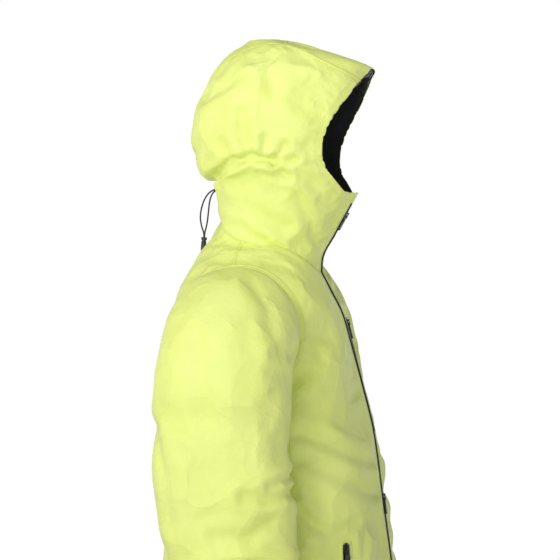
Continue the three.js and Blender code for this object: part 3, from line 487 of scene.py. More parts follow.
def apply_modifiers(piece):
    """Replaces a piece's mesh by what its modifiers make of it."""
    graph = bpy.context.evaluated_depsgraph_get()
    made = bpy.data.meshes.new_from_object(piece.evaluated_get(graph))
    old = piece.data
    piece.modifiers.clear()
    piece.data = made
    made.name = piece.name
    bpy.data.meshes.remove(old)
    return piece


DRAPE_FRAMES = 18


def drape(piece, sewn, growth, cap_mm):
    """Cloth simulation: the fabric grows a little between its seams, and so it buckles into folds.

    sewn holds a weight from 0 to 1 for each vertex; 1 stays where it is.
    """
    scene = bpy.context.scene
    group = piece.vertex_groups.new(name="sewn")
    for k, weight in enumerate(sewn):
        if weight > 0.01:
            group.add([k], float(weight), "REPLACE")
    modifier = piece.modifiers.new("cloth", "CLOTH")
    settings = modifier.settings
    settings.vertex_group_mass = "sewn"
    settings.quality = 6
    settings.mass = 0.2
    settings.tension_stiffness = settings.compression_stiffness = 20
    settings.shear_stiffness = 8
    settings.bending_stiffness = 0.5
    settings.air_damping = 2
    settings.shrink_min = -growth
    settings.effector_weights.gravity = 0
    modifier.collision_settings.use_collision = False
    modifier.point_cache.frame_start = 1
    modifier.point_cache.frame_end = DRAPE_FRAMES
    before = coordinates(piece)
    for number in range(1, DRAPE_FRAMES + 1):
        scene.frame_set(number)
    graph = bpy.context.evaluated_depsgraph_get()
    made = piece.evaluated_get(graph).to_mesh()
    after = np.empty(len(made.vertices) * 3)
    made.vertices.foreach_get("co", after)
    moved = after.reshape(-1, 3) - before
    far = np.linalg.norm(moved, axis=1, keepdims=True)
    cap = cap_mm * MM
    moved *= cap * np.tanh(far / cap) / np.maximum(far, 1e-9)
    piece.modifiers.clear()
    piece.vertex_groups.clear()
    piece.data.vertices.foreach_set("co", (before + moved).ravel())
    scene.frame_set(1)


def as_fabric(piece, thickness_mm=1.1):
    """Smooths a sheet and gives it a thickness: the first material outside, the second inside."""
    smooth = piece.modifiers.new("smooth", "SUBSURF")
    smooth.levels = smooth.render_levels = 1
    apply_modifiers(piece)
    piece["outer_points"] = len(piece.data.vertices)
    solid = piece.modifiers.new("thickness", "SOLIDIFY")
    solid.thickness = thickness_mm * MM
    solid.offset = -1
    solid.material_offset = 1
    solid.use_even_offset = False
    return apply_modifiers(piece)


# ------------------------------------------------------------------ shell: torso


BESIDE_ARM_X = 110
ARMHOLE_CUT = 88
ARMHOLE_SEWN = 104
FRONT_SEWN = 22
DRAPES = {  # how much the fabric grows, and how far a point may move in millimetres
    "torso": {"growth": 0.03, "cap_mm": 9},
    "hood": {"growth": 0.024, "cap_mm": 6},
    "sleeve": {"growth": 0.045, "cap_mm": 9},
}


def torso():
    """The jacket's body from the hem to the neck seam, open at the armholes and along the zip."""
    make = lambda s, phi: level_points(BODY_LEVELS, s, phi)
    grid, s, phi = even_rings(make, 0, len(BODY_LEVELS) - 1, CLOTH_STEP, RING_COLUMNS)
    rows, columns = grid.shape[:2]
    points, quads = grid.reshape(-1, 3), ring_faces(rows, columns)
    level = np.repeat(s, columns)
    normals = vertex_normals(points, quads)
    x, y, z = (points / MM).T
    from_arm = np.hypot(y - ARMHOLE["y"], z - ARMHOLE["z"])
    by_arm = np.abs(x) > BESIDE_ARM_X
    settle = np.clip(level / 0.25, 0, 1) * np.clip((len(BODY_LEVELS) - 1 - level) / 0.5, 0, 1)
    settle *= np.clip((np.abs(x) - 20) / 30, 0, 1) * 0.85 + 0.15 * np.clip((np.abs(x) - 8) / 12, 0, 1)
    settle *= np.where(by_arm, np.clip((from_arm - 96) / 25, 0, 1), 1)
    lift = torso_folds(points) * settle
    for pocket in POCKETS.values():
        lift = lift * np.clip((pocket_gap(points, pocket) - POCKET_HOLD) / 20, 0, 1)
    points = points + normals * (lift * MM)[:, None]
    for pocket in POCKETS.values():
        points = bed(points, pocket)

    def kept(p):
        px, py, pz = (p / MM).T
        around_arm = np.hypot(py - ARMHOLE["y"], pz - ARMHOLE["z"])
        armhole = np.where(np.abs(px) > BESIDE_ARM_X, around_arm - ARMHOLE_CUT, 99)
        slot = np.where(py < 0, np.abs(px) - ZIP_SLOT_HALF, 99)
        gap = np.minimum(armhole, slot)
        for pocket in POCKETS.values():
            gap = np.minimum(gap, pocket_gap(p, pocket))
        return gap

    points, faces, edge = trimmed(points, quads, kept)
    sewn = np.zeros(len(points))
    x, y, z = (points / MM).T
    from_arm = np.hypot(y - ARMHOLE["y"], z - ARMHOLE["z"])
    sewn[edge | (level < 0.03) | (level > len(BODY_LEVELS) - 1.02)] = 1
    sewn[(np.abs(x) < FRONT_SEWN) & (y < 0)] = 1
    sewn[(np.abs(x) > 100) & (from_arm < ARMHOLE_SEWN)] = 1
    for pocket in POCKETS.values():
        sewn[pocket_gap(points, pocket) < POCKET_HOLD] = 1
    points, faces, sewn = drop_loose(points, faces, sewn)
    piece = new_piece("shell_torso", points, faces, LIME, BACKER)
    drape(piece, sewn, **DRAPES["torso"])
    return as_fabric(piece)


# ------------------------------------------------------------------ shell: hood and collar


DEEPEST_PLEAT = 3.0


def hood_folds(points):
    """The hood's folds, drawn in by the cinch cord round the nape and falling from the crown."""
    y, z = points[:, 1] / MM, points[:, 2] / MM
    lift = np.zeros(len(points))
    for line, depth, width in HOOD_FOLDS:
        lift += fold(points, line, depth, width)
    lift = np.maximum(lift, -DEEPEST_PLEAT)
    behind = np.clip((y - 10) / 60, 0, 1)
    nape = np.exp(-(((z - 66) / 13) ** 2)) * behind
    across = np.arctan2(points[:, 0], points[:, 1] + 0.02)
    lift += nape * 2.2 * np.sin(across * 21) + nape * 1.2 * np.sin(across * 13 + 1.3)
    over = np.exp(-(((z - 92) / 17) ** 2)) * np.clip((y + 5) / 50, 0, 1)
    lift += over * (1.7 + 0.9 * np.sin(across * 11 + 0.6))
    cloth = waves(points, 70, 3, (1, 1, 0.6)) * 3.4 + waves(points, 28, 4, (1, 1, 0.7)) * 0.9
    return lift + cloth * np.clip((z - 10) / 50, 0.25, 1)


BRIM_REGION = [(-92, 400), (-92, 240), (-146, 214), (-400, 105), (-400, 400)]


def brim_hold(points):
    """1 where the brim's stiffener holds the hood smooth, 0 elsewhere."""
    return np.clip(0.5 - outside_polygon(points[:, 1] / MM, points[:, 2] / MM, BRIM_REGION) / 16, 0, 1)


def face_gap(points):
    """How far a point lies outside the face opening, in millimetres, seen from the side."""
    y, z = points[:, 1] / MM, points[:, 2] / MM
    return outside_polygon(y, z, FACE)


def collar_slot(points):
    x, y, z = (points / MM).T
    return np.where((y < 0) & (z < CHIN_Z + 12), np.abs(x) - ZIP_SLOT_HALF, 99)


def hood():
    """Collar and hood as one sheet, from the neck seam to the crown, open at the face and along the zip."""
    make = lambda s, phi: level_points(HOOD_LEVELS, s, phi)
    grid, s, phi = even_rings(make, 0, len(HOOD_LEVELS) - 1, FACE_STEP, RING_COLUMNS)
    rows, columns = grid.shape[:2]
    points, quads = grid.reshape(-1, 3), ring_faces(rows, columns)
    level = np.repeat(s, columns)
    normals = vertex_normals(points, quads)
    x, y, z = (points / MM).T
    settle = np.clip(level / 0.4, 0, 1)
    settle *= np.clip((face_gap(points) - 4) / 22, 0, 1)
    settle *= np.where((y < 0) & (z < CHIN_Z + 10), np.clip((np.abs(x) - 10) / 25, 0, 1), 1)
    by_seam = 1 - 0.75 * np.exp(-((to_line(y, z, BRIM_SEAM) / 9) ** 2)) * (z > 200)
    settle *= by_seam * (1 - 0.85 * brim_hold(points))
    points = points + normals * (hood_folds(points) * settle * MM)[:, None]
    points, faces, edge = trimmed(points, quads, lambda p: np.minimum(face_gap(p), collar_slot(p)))
    crown = len(points)
    points = np.vstack([points, [[0, -0.012, 0.2993]]])
    last = (rows - 1) * columns
    faces += [(last + k, last + (k + 1) % columns, crown) for k in range(columns)]
    x, y, z = (points / MM).T
    sewn = np.zeros(len(points))
    sewn[:-1][edge | (level < 0.03)] = 1
    sewn[face_gap(points) < 9] = 1
    sewn[(np.abs(x) < 24) & (y < 0) & (z < 60)] = 1
    sewn = np.maximum(sewn, brim_hold(points))
    sewn = np.maximum(sewn, 0.8 * (to_line(y, z, [(88, 72), (48, 92), (10, 100), (-24, 96)]) < 5))
    points, faces, sewn = drop_loose(points, faces, sewn)
    piece = new_piece("shell_hood", points, faces, LIME, BACKER)
    drape(piece, sewn, **DRAPES["hood"])
    return as_fabric(piece)


# ------------------------------------------------------------------ shell: sleeves
# A row is [angle of the ring, inner x, inner z, width across, y, half depth, roundness].

SLEEVE_ROWS = [
    [0, 138, -260, 190, 18, 95, 2],
    [0, 187, -260, 190, 18, 95, 2],
    [18, 188, -263, 182, 19, 96.4, 2.05],
    [36, 190, -267, 170, 20.5, 98.2, 2.1],
    [54, 192, -272, 154, 22.2, 100.4, 2.18],
    [72, 194, -278, 138, 24, 102.6, 2.25],
    [90, 196, -286, 124, 25, 104, 2.3],
    [90, 199, -345, 124, 25, 104, 2.35],
    [90, 201, -390, 122, 21, 103, 2.35],
    [90, 203, -440, 119.5, 17, 99, 2.3],
    [90, 207, -500, 116, 8, 94, 2.25],
    [90, 211, -550, 112, -4, 95, 2.2],
    [90, 218, -600, 102, -20, 86, 2.2],
    [90, 222.5, -649, 97, -34, 72.5, 2.2],
]
CUFF_ROWS = [
    [90, 222.5, -647, 97, -34, 72.5, 2.2],
    [90, 224, -660, 95.6, -35.6, 70.6, 2.2],
    [90, 225, -694, 94, -40, 68, 2.2],
]
SLEEVE_COLUMNS = 92


def sleeve_points(rows, s, phi, sign):
    """Points in metres round a sleeve; phi is 0 on its outer side."""
    angle, inner_x, inner_z, across, y, half_depth, roundness = [c[:, None] for c in between(rows, s).T]
    out_x, out_z = np.sin(np.radians(angle)), np.cos(np.radians(angle))
    reach = across / 2 * (1 + rounded(np.cos(phi), roundness))
    depth = half_depth * rounded(np.sin(phi), roundness)
    return np.stack([sign * (inner_x + out_x * reach), y - depth, inner_z + out_z * reach], -1) * MM


def sleeve_folds(points, sign):
    lift = np.zeros(len(points))
    for line, depth, width in SLEEVE_FOLDS:
        lift += fold(points, line, depth, width, side=sign)
    z = points[:, 2] / MM
    lift += waves(points, 62, 11 + sign, (1, 1, 0.32)) * 4.2
    lift += waves(points, 34, 17 + sign, (1, 1, 0.7)) * 1.3
    elbow = np.exp(-(((z + 400) / 70) ** 2)) * np.clip(-points[:, 1] / 0.08, 0, 1)
    lift += elbow * 1.6 * np.sin(z / 7.5 + 2.2 * waves(points, 45, 23 + sign))
    return lift


def sleeve(side, sign):
    """One sleeve from inside the armhole to the cuff seam."""
    make = lambda s, phi: sleeve_points(SLEEVE_ROWS, s, phi, sign)
    grid, s, phi = even_rings(make, 0, len(SLEEVE_ROWS) - 1, CLOTH_STEP, SLEEVE_COLUMNS)
    rows, columns = grid.shape[:2]
    points, quads = grid.reshape(-1, 3), ring_faces(rows, columns)
    if sign < 0:
        quads = quads[:, ::-1]
    level = np.repeat(s, columns)
    normals = vertex_normals(points, quads)
    settle = np.clip((level - 1.02) / 1.1, 0, 1) * np.clip((len(SLEEVE_ROWS) - 1 - level) / 0.4, 0, 1)
    inner = np.clip(((np.abs(points[:, 0]) / MM) - 196) / 14, 0.12, 1)
    points = points + normals * (sleeve_folds(points, sign) * settle * inner * MM)[:, None]
    sewn = np.where((level < 1.15) | (level > len(SLEEVE_ROWS) - 1.04), 1.0, 0)
    piece = new_piece(f"shell_sleeve_{side}", points, quads, LIME, BACKER)
    drape(piece, sewn, **DRAPES["sleeve"])
    return as_fabric(piece)


# ------------------------------------------------------------------ folds, as (y, z) lines in millimetres
# Each has its line, its depth and its width.

HOOD_FOLDS = [
    ([(92, 66), (48, 92), (12, 101), (-22, 97)], 5.5, 7),
    ([(-24, 96), (-44, 120)], 3.0, 6),
    ([(-24, 96), (-56, 98)], 2.6, 6),
    ([(-22, 94), (-44, 72)], 2.8, 6),
    ([(-10, 98), (-14, 132)], 2.4, 6),
    ([(8, 101), (20, 135), (26, 170)], 2.4, 9),
    ([(40, 96), (58, 128)], 2.2, 8),
    ([(112, 110), (84, 130), (60, 168)], 2.2, 12),
    ([(88, 200), (40, 225), (-10, 232)], 1.8, 14),
    ([(60, 30), (20, 22), (-30, -8)], 2.4, 12),
    ([(70, 6), (30, -6), (-4, -28)], 2.0, 10),
    ([(-60, 40), (-74, 6), (-84, -30)], 2.0, 9),
]
TORSO_FOLDS = [
    ([(172, -196), (128, -214)], 3.5, 10),
    ([(172, -232), (126, -252)], 3.0, 11),
    ([(156, -380), (132, -440), (108, -492)], 4.5, 14),
    ([(150, -470), (110, -560), (96, -640)], 3.5, 18),
    ([(-78, -322), (-124, -344), (-168, -372)], 4.5, 11),
    ([(-82, -356), (-130, -384), (-176, -418)], 4.0, 12),
    ([(-80, -438), (-98, -456), (-114, -466)], 3.5, 8),
    ([(-126, -468), (-138, -466), (-148, -458)], 2.5, 6),
    ([(-70, -520), (-110, -570), (-128, -650)], 3.0, 16),
    ([(-20, -64), (-52, -98), (-66, -140)], 2.2, 9),
    ([(60, -560), (70, -700)], 3.0, 16),
    ([(0, -480), (-14, -640), (-10, -740)], 3.4, 15),
]
SLEEVE_FOLDS = [
    ([(-86, -366), (-58, -378)], 3.6, 6),
    ([(-86, -392), (-52, -398), (-20, -392)], 3.2, 7),
    ([(86, -536), (72, -528), (40, -506), (-10, -497), (-43, -496), (-86, -502)], 7.0, 9),
    ([(110, -560), (60, -556), (10, -540)], 3.2, 9),
    ([(124, -300), (100, -360), (92, -430)], 3.0, 13),
    ([(-14, -91), (-43, -123), (-56, -168), (-67, -190)], 3.2, 9),
    ([(-70, -200), (-62, -262), (-74, -330)], 2.4, 12),
    ([(70, -120), (40, -190), (32, -280)], 2.0, 18),
    ([(-60, -430), (-30, -450), (20, -452)], 2.4, 10),
    ([(-104, -596), (-60, -612), (-10, -612)], 2.8, 9),
    ([(-100, -630), (-50, -640), (10, -634)], 2.2, 7),
]


def torso_folds(points):
    lift = np.zeros(len(points))
    for number, (line, depth, width) in enumerate(TORSO_FOLDS):
        # The left side's folds lie a little higher or lower than the right side's.
        shifted = [(y, z + 14 * math.sin(number * 2.1)) for y, z in line]
        lift += fold(points, line, depth, width, side=-1)
        lift += fold(points, shifted, depth * 0.9, width, side=1)
    z = points[:, 2] / MM
    skirt = np.clip((-z - 260) / 200, 0, 1)
    lift += waves(points, 78, 5, (1, 1, 0.3)) * (1.5 + 4.5 * skirt)
    lift += waves(points, 36, 6, (1, 1, 0.55)) * 1.3
    return lift


# ------------------------------------------------------------------ pockets


def on_front(x_mm, z_mm):
    """The point of the front of the jacket with this x and z, in metres."""
    low, high = 0.0, len(BODY_LEVELS) - 1.0
    for _ in range(36):
        middle = (low + high) / 2
        level = between(BODY_LEVELS, middle)[0]
        share = min(1, abs(x_mm) / level[5])
        phi = math.asin(share ** (level[6] / 2)) * (1 if x_mm > 0 else -1)
        point = level_points(BODY_LEVELS, middle, np.array([[phi]]))[0, 0]
        low, high = (middle, high) if point[2] < z_mm * MM else (low, middle)
    return Vector(point)


def pocket_frame(top, bottom, sink_mm):
    """The zip's frame: +Z runs up the zip, +Y goes into the jacket and +X across it."""
    top, bottom = on_front(*top), on_front(*bottom)
    middle = (top + bottom) / 2
    up = (top - bottom).normalized()
    x, z = middle.x / MM, middle.z / MM
    across = on_front(x + 8, z) - on_front(x - 8, z)
    rise = on_front(x, z + 8) - on_front(x, z - 8)
    normal = across.cross(rise).normalized()
    sideways = up.cross(normal).normalized()
    inwards = up.cross(sideways)
    basis = Matrix((sideways, inwards, up)).transposed().to_4x4()
    basis.translation = middle + inwards * sink_mm * MM
    return {"frame": basis, "half": (top - bottom).length / 2 / MM}


def in_frame(points, pocket):
    """Points in a pocket's frame, in millimetres."""
    inverse = np.array(pocket["frame"].inverted())
    return (points @ inverse[:3, :3].T + inverse[:3, 3]) / MM


def pocket_gap(points, pocket):
    """How far a point lies outside the pocket's slot, in millimetres, in the plane of the zip."""
    local = in_frame(points, pocket)
    out_x = np.abs(local[:, 0]) - ZIP_SLOT_HALF
    out_z = np.abs(local[:, 2]) - pocket["half"]
    outside = np.hypot(np.maximum(out_x, 0), np.maximum(out_z, 0))
    gap = np.where((out_x < 0) & (out_z < 0), np.maximum(out_x, out_z), outside)
    return np.where(np.abs(local[:, 1]) < 40, gap, 999)


def bed(points, pocket):
    """Draws the fabric down to the plane of the pocket's zip near its slot."""
    local = in_frame(points, pocket)
    gap = pocket_gap(points, pocket)
    hold = np.clip(1 - (gap - POCKET_FLAT) / POCKET_BLEND, 0, 1)
    hold = hold * hold * (3 - 2 * hold)
    local[:, 1] *= 1 - hold
    forward = np.array(pocket["frame"])
    return local * MM @ forward[:3, :3].T + forward[:3, 3]


POCKET_FLAT = 14
POCKET_BLEND = 18
POCKET_HOLD = 24
POCKETS = {
    "chest_pocket": pocket_frame((42, -148), (46, -330), 3),
    "hand_pocket_right": pocket_frame((-146, -486), (-160, -650), 1.5),
    "hand_pocket_left": pocket_frame((146, -486), (160, -650), 1.5),
}
RING_COLUMNS = 176


# ------------------------------------------------------------------ seams, tapes and stitches


def triangles_of(piece):
    mesh = piece.data
    mesh.calc_loop_triangles()
    return np.array([t.vertices[:] for t in mesh.loop_triangles])


def chained(pairs):
    """Joins segments, given as pairs of keys, into lists of keys."""
    near = {}
    for a, b in pairs:
        near.setdefault(a, []).append(b)
        near.setdefault(b, []).append(a)
    runs, used = [], set()
    for start in sorted(near, key=lambda key: (len(near[key]) != 1, key)):
        if start in used:
            continue
        run, here = [start], start
        used.add(start)
        while True:
            onward = [k for k in near[here] if k not in used]
            if not onward:
                break
            here = onward[0]
            used.add(here)
            run.append(here)
        if len(run) > 3:
            if run[0] in near[run[-1]] and len(run) > 8:
                run.append(run[0])
            runs.append(run)
    return runs


def lines_on(piece, field, keep=None):
    """Where field(points) is 0 on the outside of a piece: a list of (points, normals) lines, in metres."""
    points = coordinates(piece)
    normals = np.empty(len(points) * 3)
    piece.data.vertices.foreach_get("normal", normals)
    normals = normals.reshape(-1, 3)
    value = field(points)
    outer = np.zeros(len(points), bool)
    outer[: piece["outer_points"]] = True
    faces = triangles_of(piece)
    faces = faces[outer[faces].all(1)]
    if keep is not None:
        faces = faces[keep(points)[faces].all(1)]
    pairs, place_of = [], {}
    above = value[faces] > 0
    for face in faces[above.any(1) & ~above.all(1)]:
        ends = []
        for a, b in ((0, 1), (1, 2), (2, 0)):
            a, b = sorted((int(face[a]), int(face[b])))
            if (value[a] > 0) != (value[b] > 0):
                share = value[a] / (value[a] - value[b])
                place_of[(a, b)] = tuple(v[a] + (v[b] - v[a]) * share for v in (points, normals))
                ends.append((a, b))
        if len(ends) == 2:
            pairs.append(ends)
    runs = [[place_of[key] for key in run] for run in chained(pairs)]
    return [tuple(np.array(part) for part in zip(*run)) for run in runs]


def evened(line, step_mm, ease=2):
    """A line at even steps, smoothed a little."""
    points, normals = line
    run = np.concatenate([[0], np.cumsum(np.linalg.norm(np.diff(points, axis=0), axis=1))])
    count = max(2, int(run[-1] / (step_mm * MM)))
    at = np.linspace(0, run[-1], count + 1)
    points = np.stack([np.interp(at, run, points[:, k]) for k in range(3)], 1)
    normals = np.stack([np.interp(at, run, normals[:, k]) for k in range(3)], 1)
    for _ in range(ease):
        points[1:-1] = (points[:-2] + 2 * points[1:-1] + points[2:]) / 4
        normals[1:-1] = (normals[:-2] + 2 * normals[1:-1] + normals[2:]) / 4
    return points, normals / np.maximum(np.linalg.norm(normals, axis=1, keepdims=True), 1e-9)


def frames_along(line):
    points, normals = line
    ahead = np.gradient(points, axis=0)
    ahead /= np.maximum(np.linalg.norm(ahead, axis=1, keepdims=True), 1e-12)
    side = np.cross(ahead, normals)
    side /= np.maximum(np.linalg.norm(side, axis=1, keepdims=True), 1e-12)
    return points, np.cross(side, ahead), side


def swept(line, profile, pucker=0.0, seed=0):
    """Points and faces of a closed profile of (sideways, outwards) millimetres swept along a line."""
    points, out, side = frames_along(line)
    profile = np.array(profile, float) * MM
    n, m = len(points), len(profile)
    lift = 1 + pucker * np.sin(np.arange(n) * 1.9 + seed) * np.sin(np.arange(n) * 0.43 + seed)
    risen = profile[None, :, 1:] * lift[:, None, None]
    rings = points[:, None] + side[:, None] * profile[None, :, :1] + out[:, None] * risen
    k = np.arange((n - 1) * m)
    i, j = k // m, k % m
    after = (j + 1) % m
    quads = np.stack([i * m + j, (i + 1) * m + j, (i + 1) * m + after, i * m + after], 1)
    ends = [tuple(range(m)), tuple((n - 1) * m + k for k in reversed(range(m)))]
    return rings.reshape(-1, 3), [tuple(q) for q in quads] + ends


def gathered(parts):
    """Joins (points, faces) parts into one."""
    points, faces, first = [], [], 0
    for p, f in parts:
        points.append(p)
        faces += [tuple(int(v) + first for v in face) for face in f]
        first += len(p)
    return np.concatenate(points), faces


def seam_strip(width, height):
    """The section of a folded seam: low and rounded, and let into the fabric under it."""
    half = width / 2
    left = [(-half, -0.5), (-half * 0.9, height * 0.5), (-half * 0.45, height)]
    return left + [(-x, z) for x, z in reversed(left)]


def seam(name, lines, width, height, pucker=0.35):
    """A felled seam along lines of the shell."""
    parts = [swept(evened(line, 3.0), seam_strip(width, height), pucker, k) for k, line in enumerate(lines)]
    return new_piece(name, *gathered(parts), SEAM_LIME) if parts else None


STITCH = {"step": 3.2, "length": 2.3, "thread": 0.42}
STITCH_FACES = [
    (4 * i + j, 4 * i + 4 + j, 4 * i + 4 + (j + 1) % 4, 4 * i + (j + 1) % 4)
    for i in range(3) for j in range(4)
]


def stitches(name, lines, offset_mm=0.0, lift_mm=0.25):
    """Rows of lockstitch: short threads that dip into the fabric at both ends."""
    parts = []
    radius = STITCH["thread"] / 2 * MM
    for line in lines:
        points, out, side = frames_along(evened(line, STITCH["step"]))
        points = points + side * offset_mm * MM + out * lift_mm * MM
        ahead = np.gradient(points, axis=0)
        ahead /= np.linalg.norm(ahead, axis=1, keepdims=True)
        for p, a, o, s in zip(points, ahead, out, side):
            rings = []
            for along, rise in ((-0.5, -1.6), (-0.3, 0.0), (0.3, 0.0), (0.5, -1.6)):
                centre = p + a * along * STITCH["length"] * MM + o * rise * radius
                rings += [centre + (s * c + o * d) * radius for c, d in ((1, 0), (0, 1), (-1, 0), (0, -1))]
            parts.append((np.array(rings), STITCH_FACES))
    return new_piece(name, *gathered(parts), THREAD) if parts else None


def shown_as(piece, body, slot, *nodes):
    """Fixes a piece to a body, and hides the CAD nodes that it stands for."""
    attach(piece, body)
    if nodes:
        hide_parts(*nodes)
    return piece


def between_bodies(piece):
    """Bakes the placement of a piece that lies on the hood's fabric into its points."""
    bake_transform(piece)
    return piece


def laid(points, piece):
    """Points moved to the nearest place on the outside of a piece, and the normals there."""
    outer = piece["outer_points"]
    faces = [f for f in triangles_of(piece).tolist() if max(f) < outer]
    tree = BVHTree.FromPolygons(coordinates(piece)[:outer].tolist(), faces)
    found = [tree.find_nearest(Vector(p)) for p in points]
    return np.array([f[0][:] for f in found]), np.array([f[1][:] for f in found])


# ------------------------------------------------------------------ zips

TEETH = {"pitch": 1.3, "bar": 0.8, "reach": 3.0, "past": 0.7, "low": -2.3, "high": 1.9}
# Where a bar of the coil has its rings, across the zip, and how tall each is.
BAR_RINGS = ((-TEETH["past"], 0.7), (0.6, 1.0), (TEETH["reach"] - 0.4, 1.0), (TEETH["reach"], 0.55))
BAR_FACES = [
    (6 * i + j, 6 * i + (j + 1) % 6, 6 * i + 6 + (j + 1) % 6, 6 * i + 6 + j)
    for i in range(3) for j in range(6)
]
BAR_FACES += [tuple(range(5, -1, -1)), tuple(range(18, 24))]
TAPE_SECTION = [(-15, -3.2), (-15, -2.4), (-8, -2.35), (8, -2.35), (15, -2.4), (15, -3.2)]


def teeth(line):
    """Two rows of coil, as rounded bars that reach past the middle in turn."""
    points, out, side = frames_along(evened(line, TEETH["pitch"] / 2, ease=0))
    ahead = np.cross(out, side)
    half = TEETH["bar"] / 2 * MM
    parts = []
    for k, (p, o, s, a) in enumerate(zip(points, out, side, ahead)):
        way = 1 if k % 2 else -1
        rings = []
        for across, swell in BAR_RINGS:
            centre = p + s * way * across * MM
            middle = (TEETH["low"] + TEETH["high"]) / 2
            tall = (TEETH["high"] - TEETH["low"]) / 2 * swell
            for c, d in ((-1, -1), (-1, 0.4), (-0.45, 1), (0.45, 1), (1, 0.4), (1, -1)):
                rings.append(centre + a * way * half * c * swell + o * (tall * d + middle) * MM)
        parts.append((np.array(rings), BAR_FACES))
    return gathered(parts)


def zip_fastener(name, line):
    """Tape and coil along a line that lies on the outside of the fabric."""
    tape_points, tape_faces = swept(evened(line, 4, ease=0), TAPE_SECTION)
    coil_points, coil_faces = teeth(line)
    piece = new_piece(name, *gathered([(tape_points, tape_faces), (coil_points, coil_faces)]), TAPE, COIL)
    ids = [0] * len(tape_faces) + [1] * len(coil_faces)
    piece.data.polygons.foreach_set("material_index", ids)
    return piece


def front_line(top_z_mm):
    """The middle of the front from just above the hem up to a height, with its normals."""
    body = level_points(BODY_LEVELS, np.linspace(0.02, len(BODY_LEVELS) - 1, 200), np.zeros((200, 1)))[:, 0]
    collar = level_points(HOOD_LEVELS, np.linspace(0.02, 4, 100), np.zeros((100, 1)))[:, 0]
    points = np.concatenate([body, collar])
    points = points[points[:, 2] < top_z_mm * MM]
    ahead = np.gradient(points, axis=0)
    normals = np.stack([0 * ahead[:, 0], -ahead[:, 2], ahead[:, 1]], 1)
    return points, normals / np.linalg.norm(normals, axis=1, keepdims=True)


def pocket_line(pocket, short_mm=0.0):
    half = pocket["half"] - short_mm
    basis = np.array(pocket["frame"])
    along = np.linspace(-half, half, 60)[:, None] * MM
    return basis[:3, 3] + along * basis[:3, 2], np.tile(-basis[:3, 1], (60, 1))


def pocket_lip(name, pocket):
    """The bonded edge round a pocket's slot: a low rim with round corners."""
    basis = np.array(pocket["frame"])
    inset, corner = ZIP_SLOT_HALF + 2.6, 5.0
    across, tall = inset - corner, pocket["half"] + 2.6 - corner
    outline = []
    for quarter, (cx, cz) in enumerate(((across, tall), (-across, tall), (-across, -tall), (across, -tall))):
        for k in range(9):
            turn = math.pi / 2 * (quarter + k / 8)
            outline.append((cx + corner * math.cos(turn), cz + corner * math.sin(turn)))
    outline.append(outline[0])
    flat = np.array(outline) * MM
    points = basis[:3, 3] + flat[:, :1] * basis[:3, 0] + flat[:, 1:] * basis[:3, 2]
    line = (points, np.tile(-basis[:3, 1], (len(points), 1)))
    section = [(-2.7, -1.2), (-2.6, 0.5), (-1.6, 0.85), (1.6, 0.85), (2.9, 0.25), (3.1, -1.2)]
    return new_piece(name, *swept(evened(line, 2.5, ease=0), section, pucker=0.12), SEAM_LIME)


# ------------------------------------------------------------------ cords

CORD_DIAMETER = 2.6
EYELET = {"y": 82, "z": 58}
# Each strand's way from the eyelet to the cord end, as (y, z) in millimetres, as the solid model has it.
STRAND_ROUTES = {
    "right": [
        (92, 57), (101, 51), (108, 40), (112.5, 26), (114, 12),
        (112, -1), (109, -10), (108.1, -16), (108, -22),
    ],
    "left": [
        (90, 56), (96, 49), (99.5, 38), (101, 26), (102.5, 12),
        (104.4, 0), (106.8, -9), (107.8, -15), (108, -22),
    ],
}


def tube(path, radius_mm, sides=12):
    """A closed round tube along points."""
    ahead = np.gradient(path, axis=0)
    ahead /= np.linalg.norm(ahead, axis=1, keepdims=True)
    side = np.cross(ahead[0], [0, 0, 1.0]) + [1e-6, 0, 0]
    rings = []
    for p, a in zip(path, ahead):
        side = side - a * (side @ a)
        side /= np.linalg.norm(side)
        up = np.cross(a, side)
        turn = np.linspace(0, 2 * math.pi, sides, endpoint=False)[:, None]
        rings.append(p + radius_mm * MM * (side * np.cos(turn) + up * np.sin(turn)))
    n = len(path)
    k = np.arange((n - 1) * sides)
    i, j = k // sides, k % sides
    after = (j + 1) % sides
    faces = np.stack([i * sides + j, i * sides + after, (i + 1) * sides + after, (i + 1) * sides + j], 1)
    caps = [tuple(reversed(range(sides))), tuple(range((n - 1) * sides, n * sides))]
    return np.concatenate(rings), [tuple(f) for f in faces] + caps


def cinch_loop(side, sign):
    """One of the two strands that hang from the nape's eyelet."""
    route = [(EYELET["y"] - 3, EYELET["z"]), (EYELET["y"] + 3, EYELET["z"]), *STRAND_ROUTES[side]]
    x = sign * (CORD_DIAMETER / 2 + 0.3)
    path = between([(x, y, z) for y, z in route], np.linspace(0, len(route) - 1, 31)) * MM
    strand = new_piece(f"cinch_loop_{side}", *tube(path, CORD_DIAMETER / 2), CORD)
    shown_as(strand, "torso", "cord", f"loop_strand_{side}")
    return strand


# ------------------------------------------------------------------ small soft parts over their solids

LUMP_MM = 22
TUCK = {"clear": 3.2, "reach": 9.0}


def tucked(points, shell_piece):
    """Points moved in, each with its neighbours, so that no part of them shows through the shell outside."""
    on_shell, out = laid(points, shell_piece)
    short = np.maximum(TUCK["clear"] * MM + ((points - on_shell) * out).sum(1), 0)
    near = KDTree(len(points))
    for k, p in enumerate(points):
        near.insert(p, k)
    near.balance()
    reach = TUCK["reach"] * MM
    shift = [max(short[found[1]] for found in near.find_range(p, reach)) for p in points]
    return points - out * np.array(shift)[:, None]


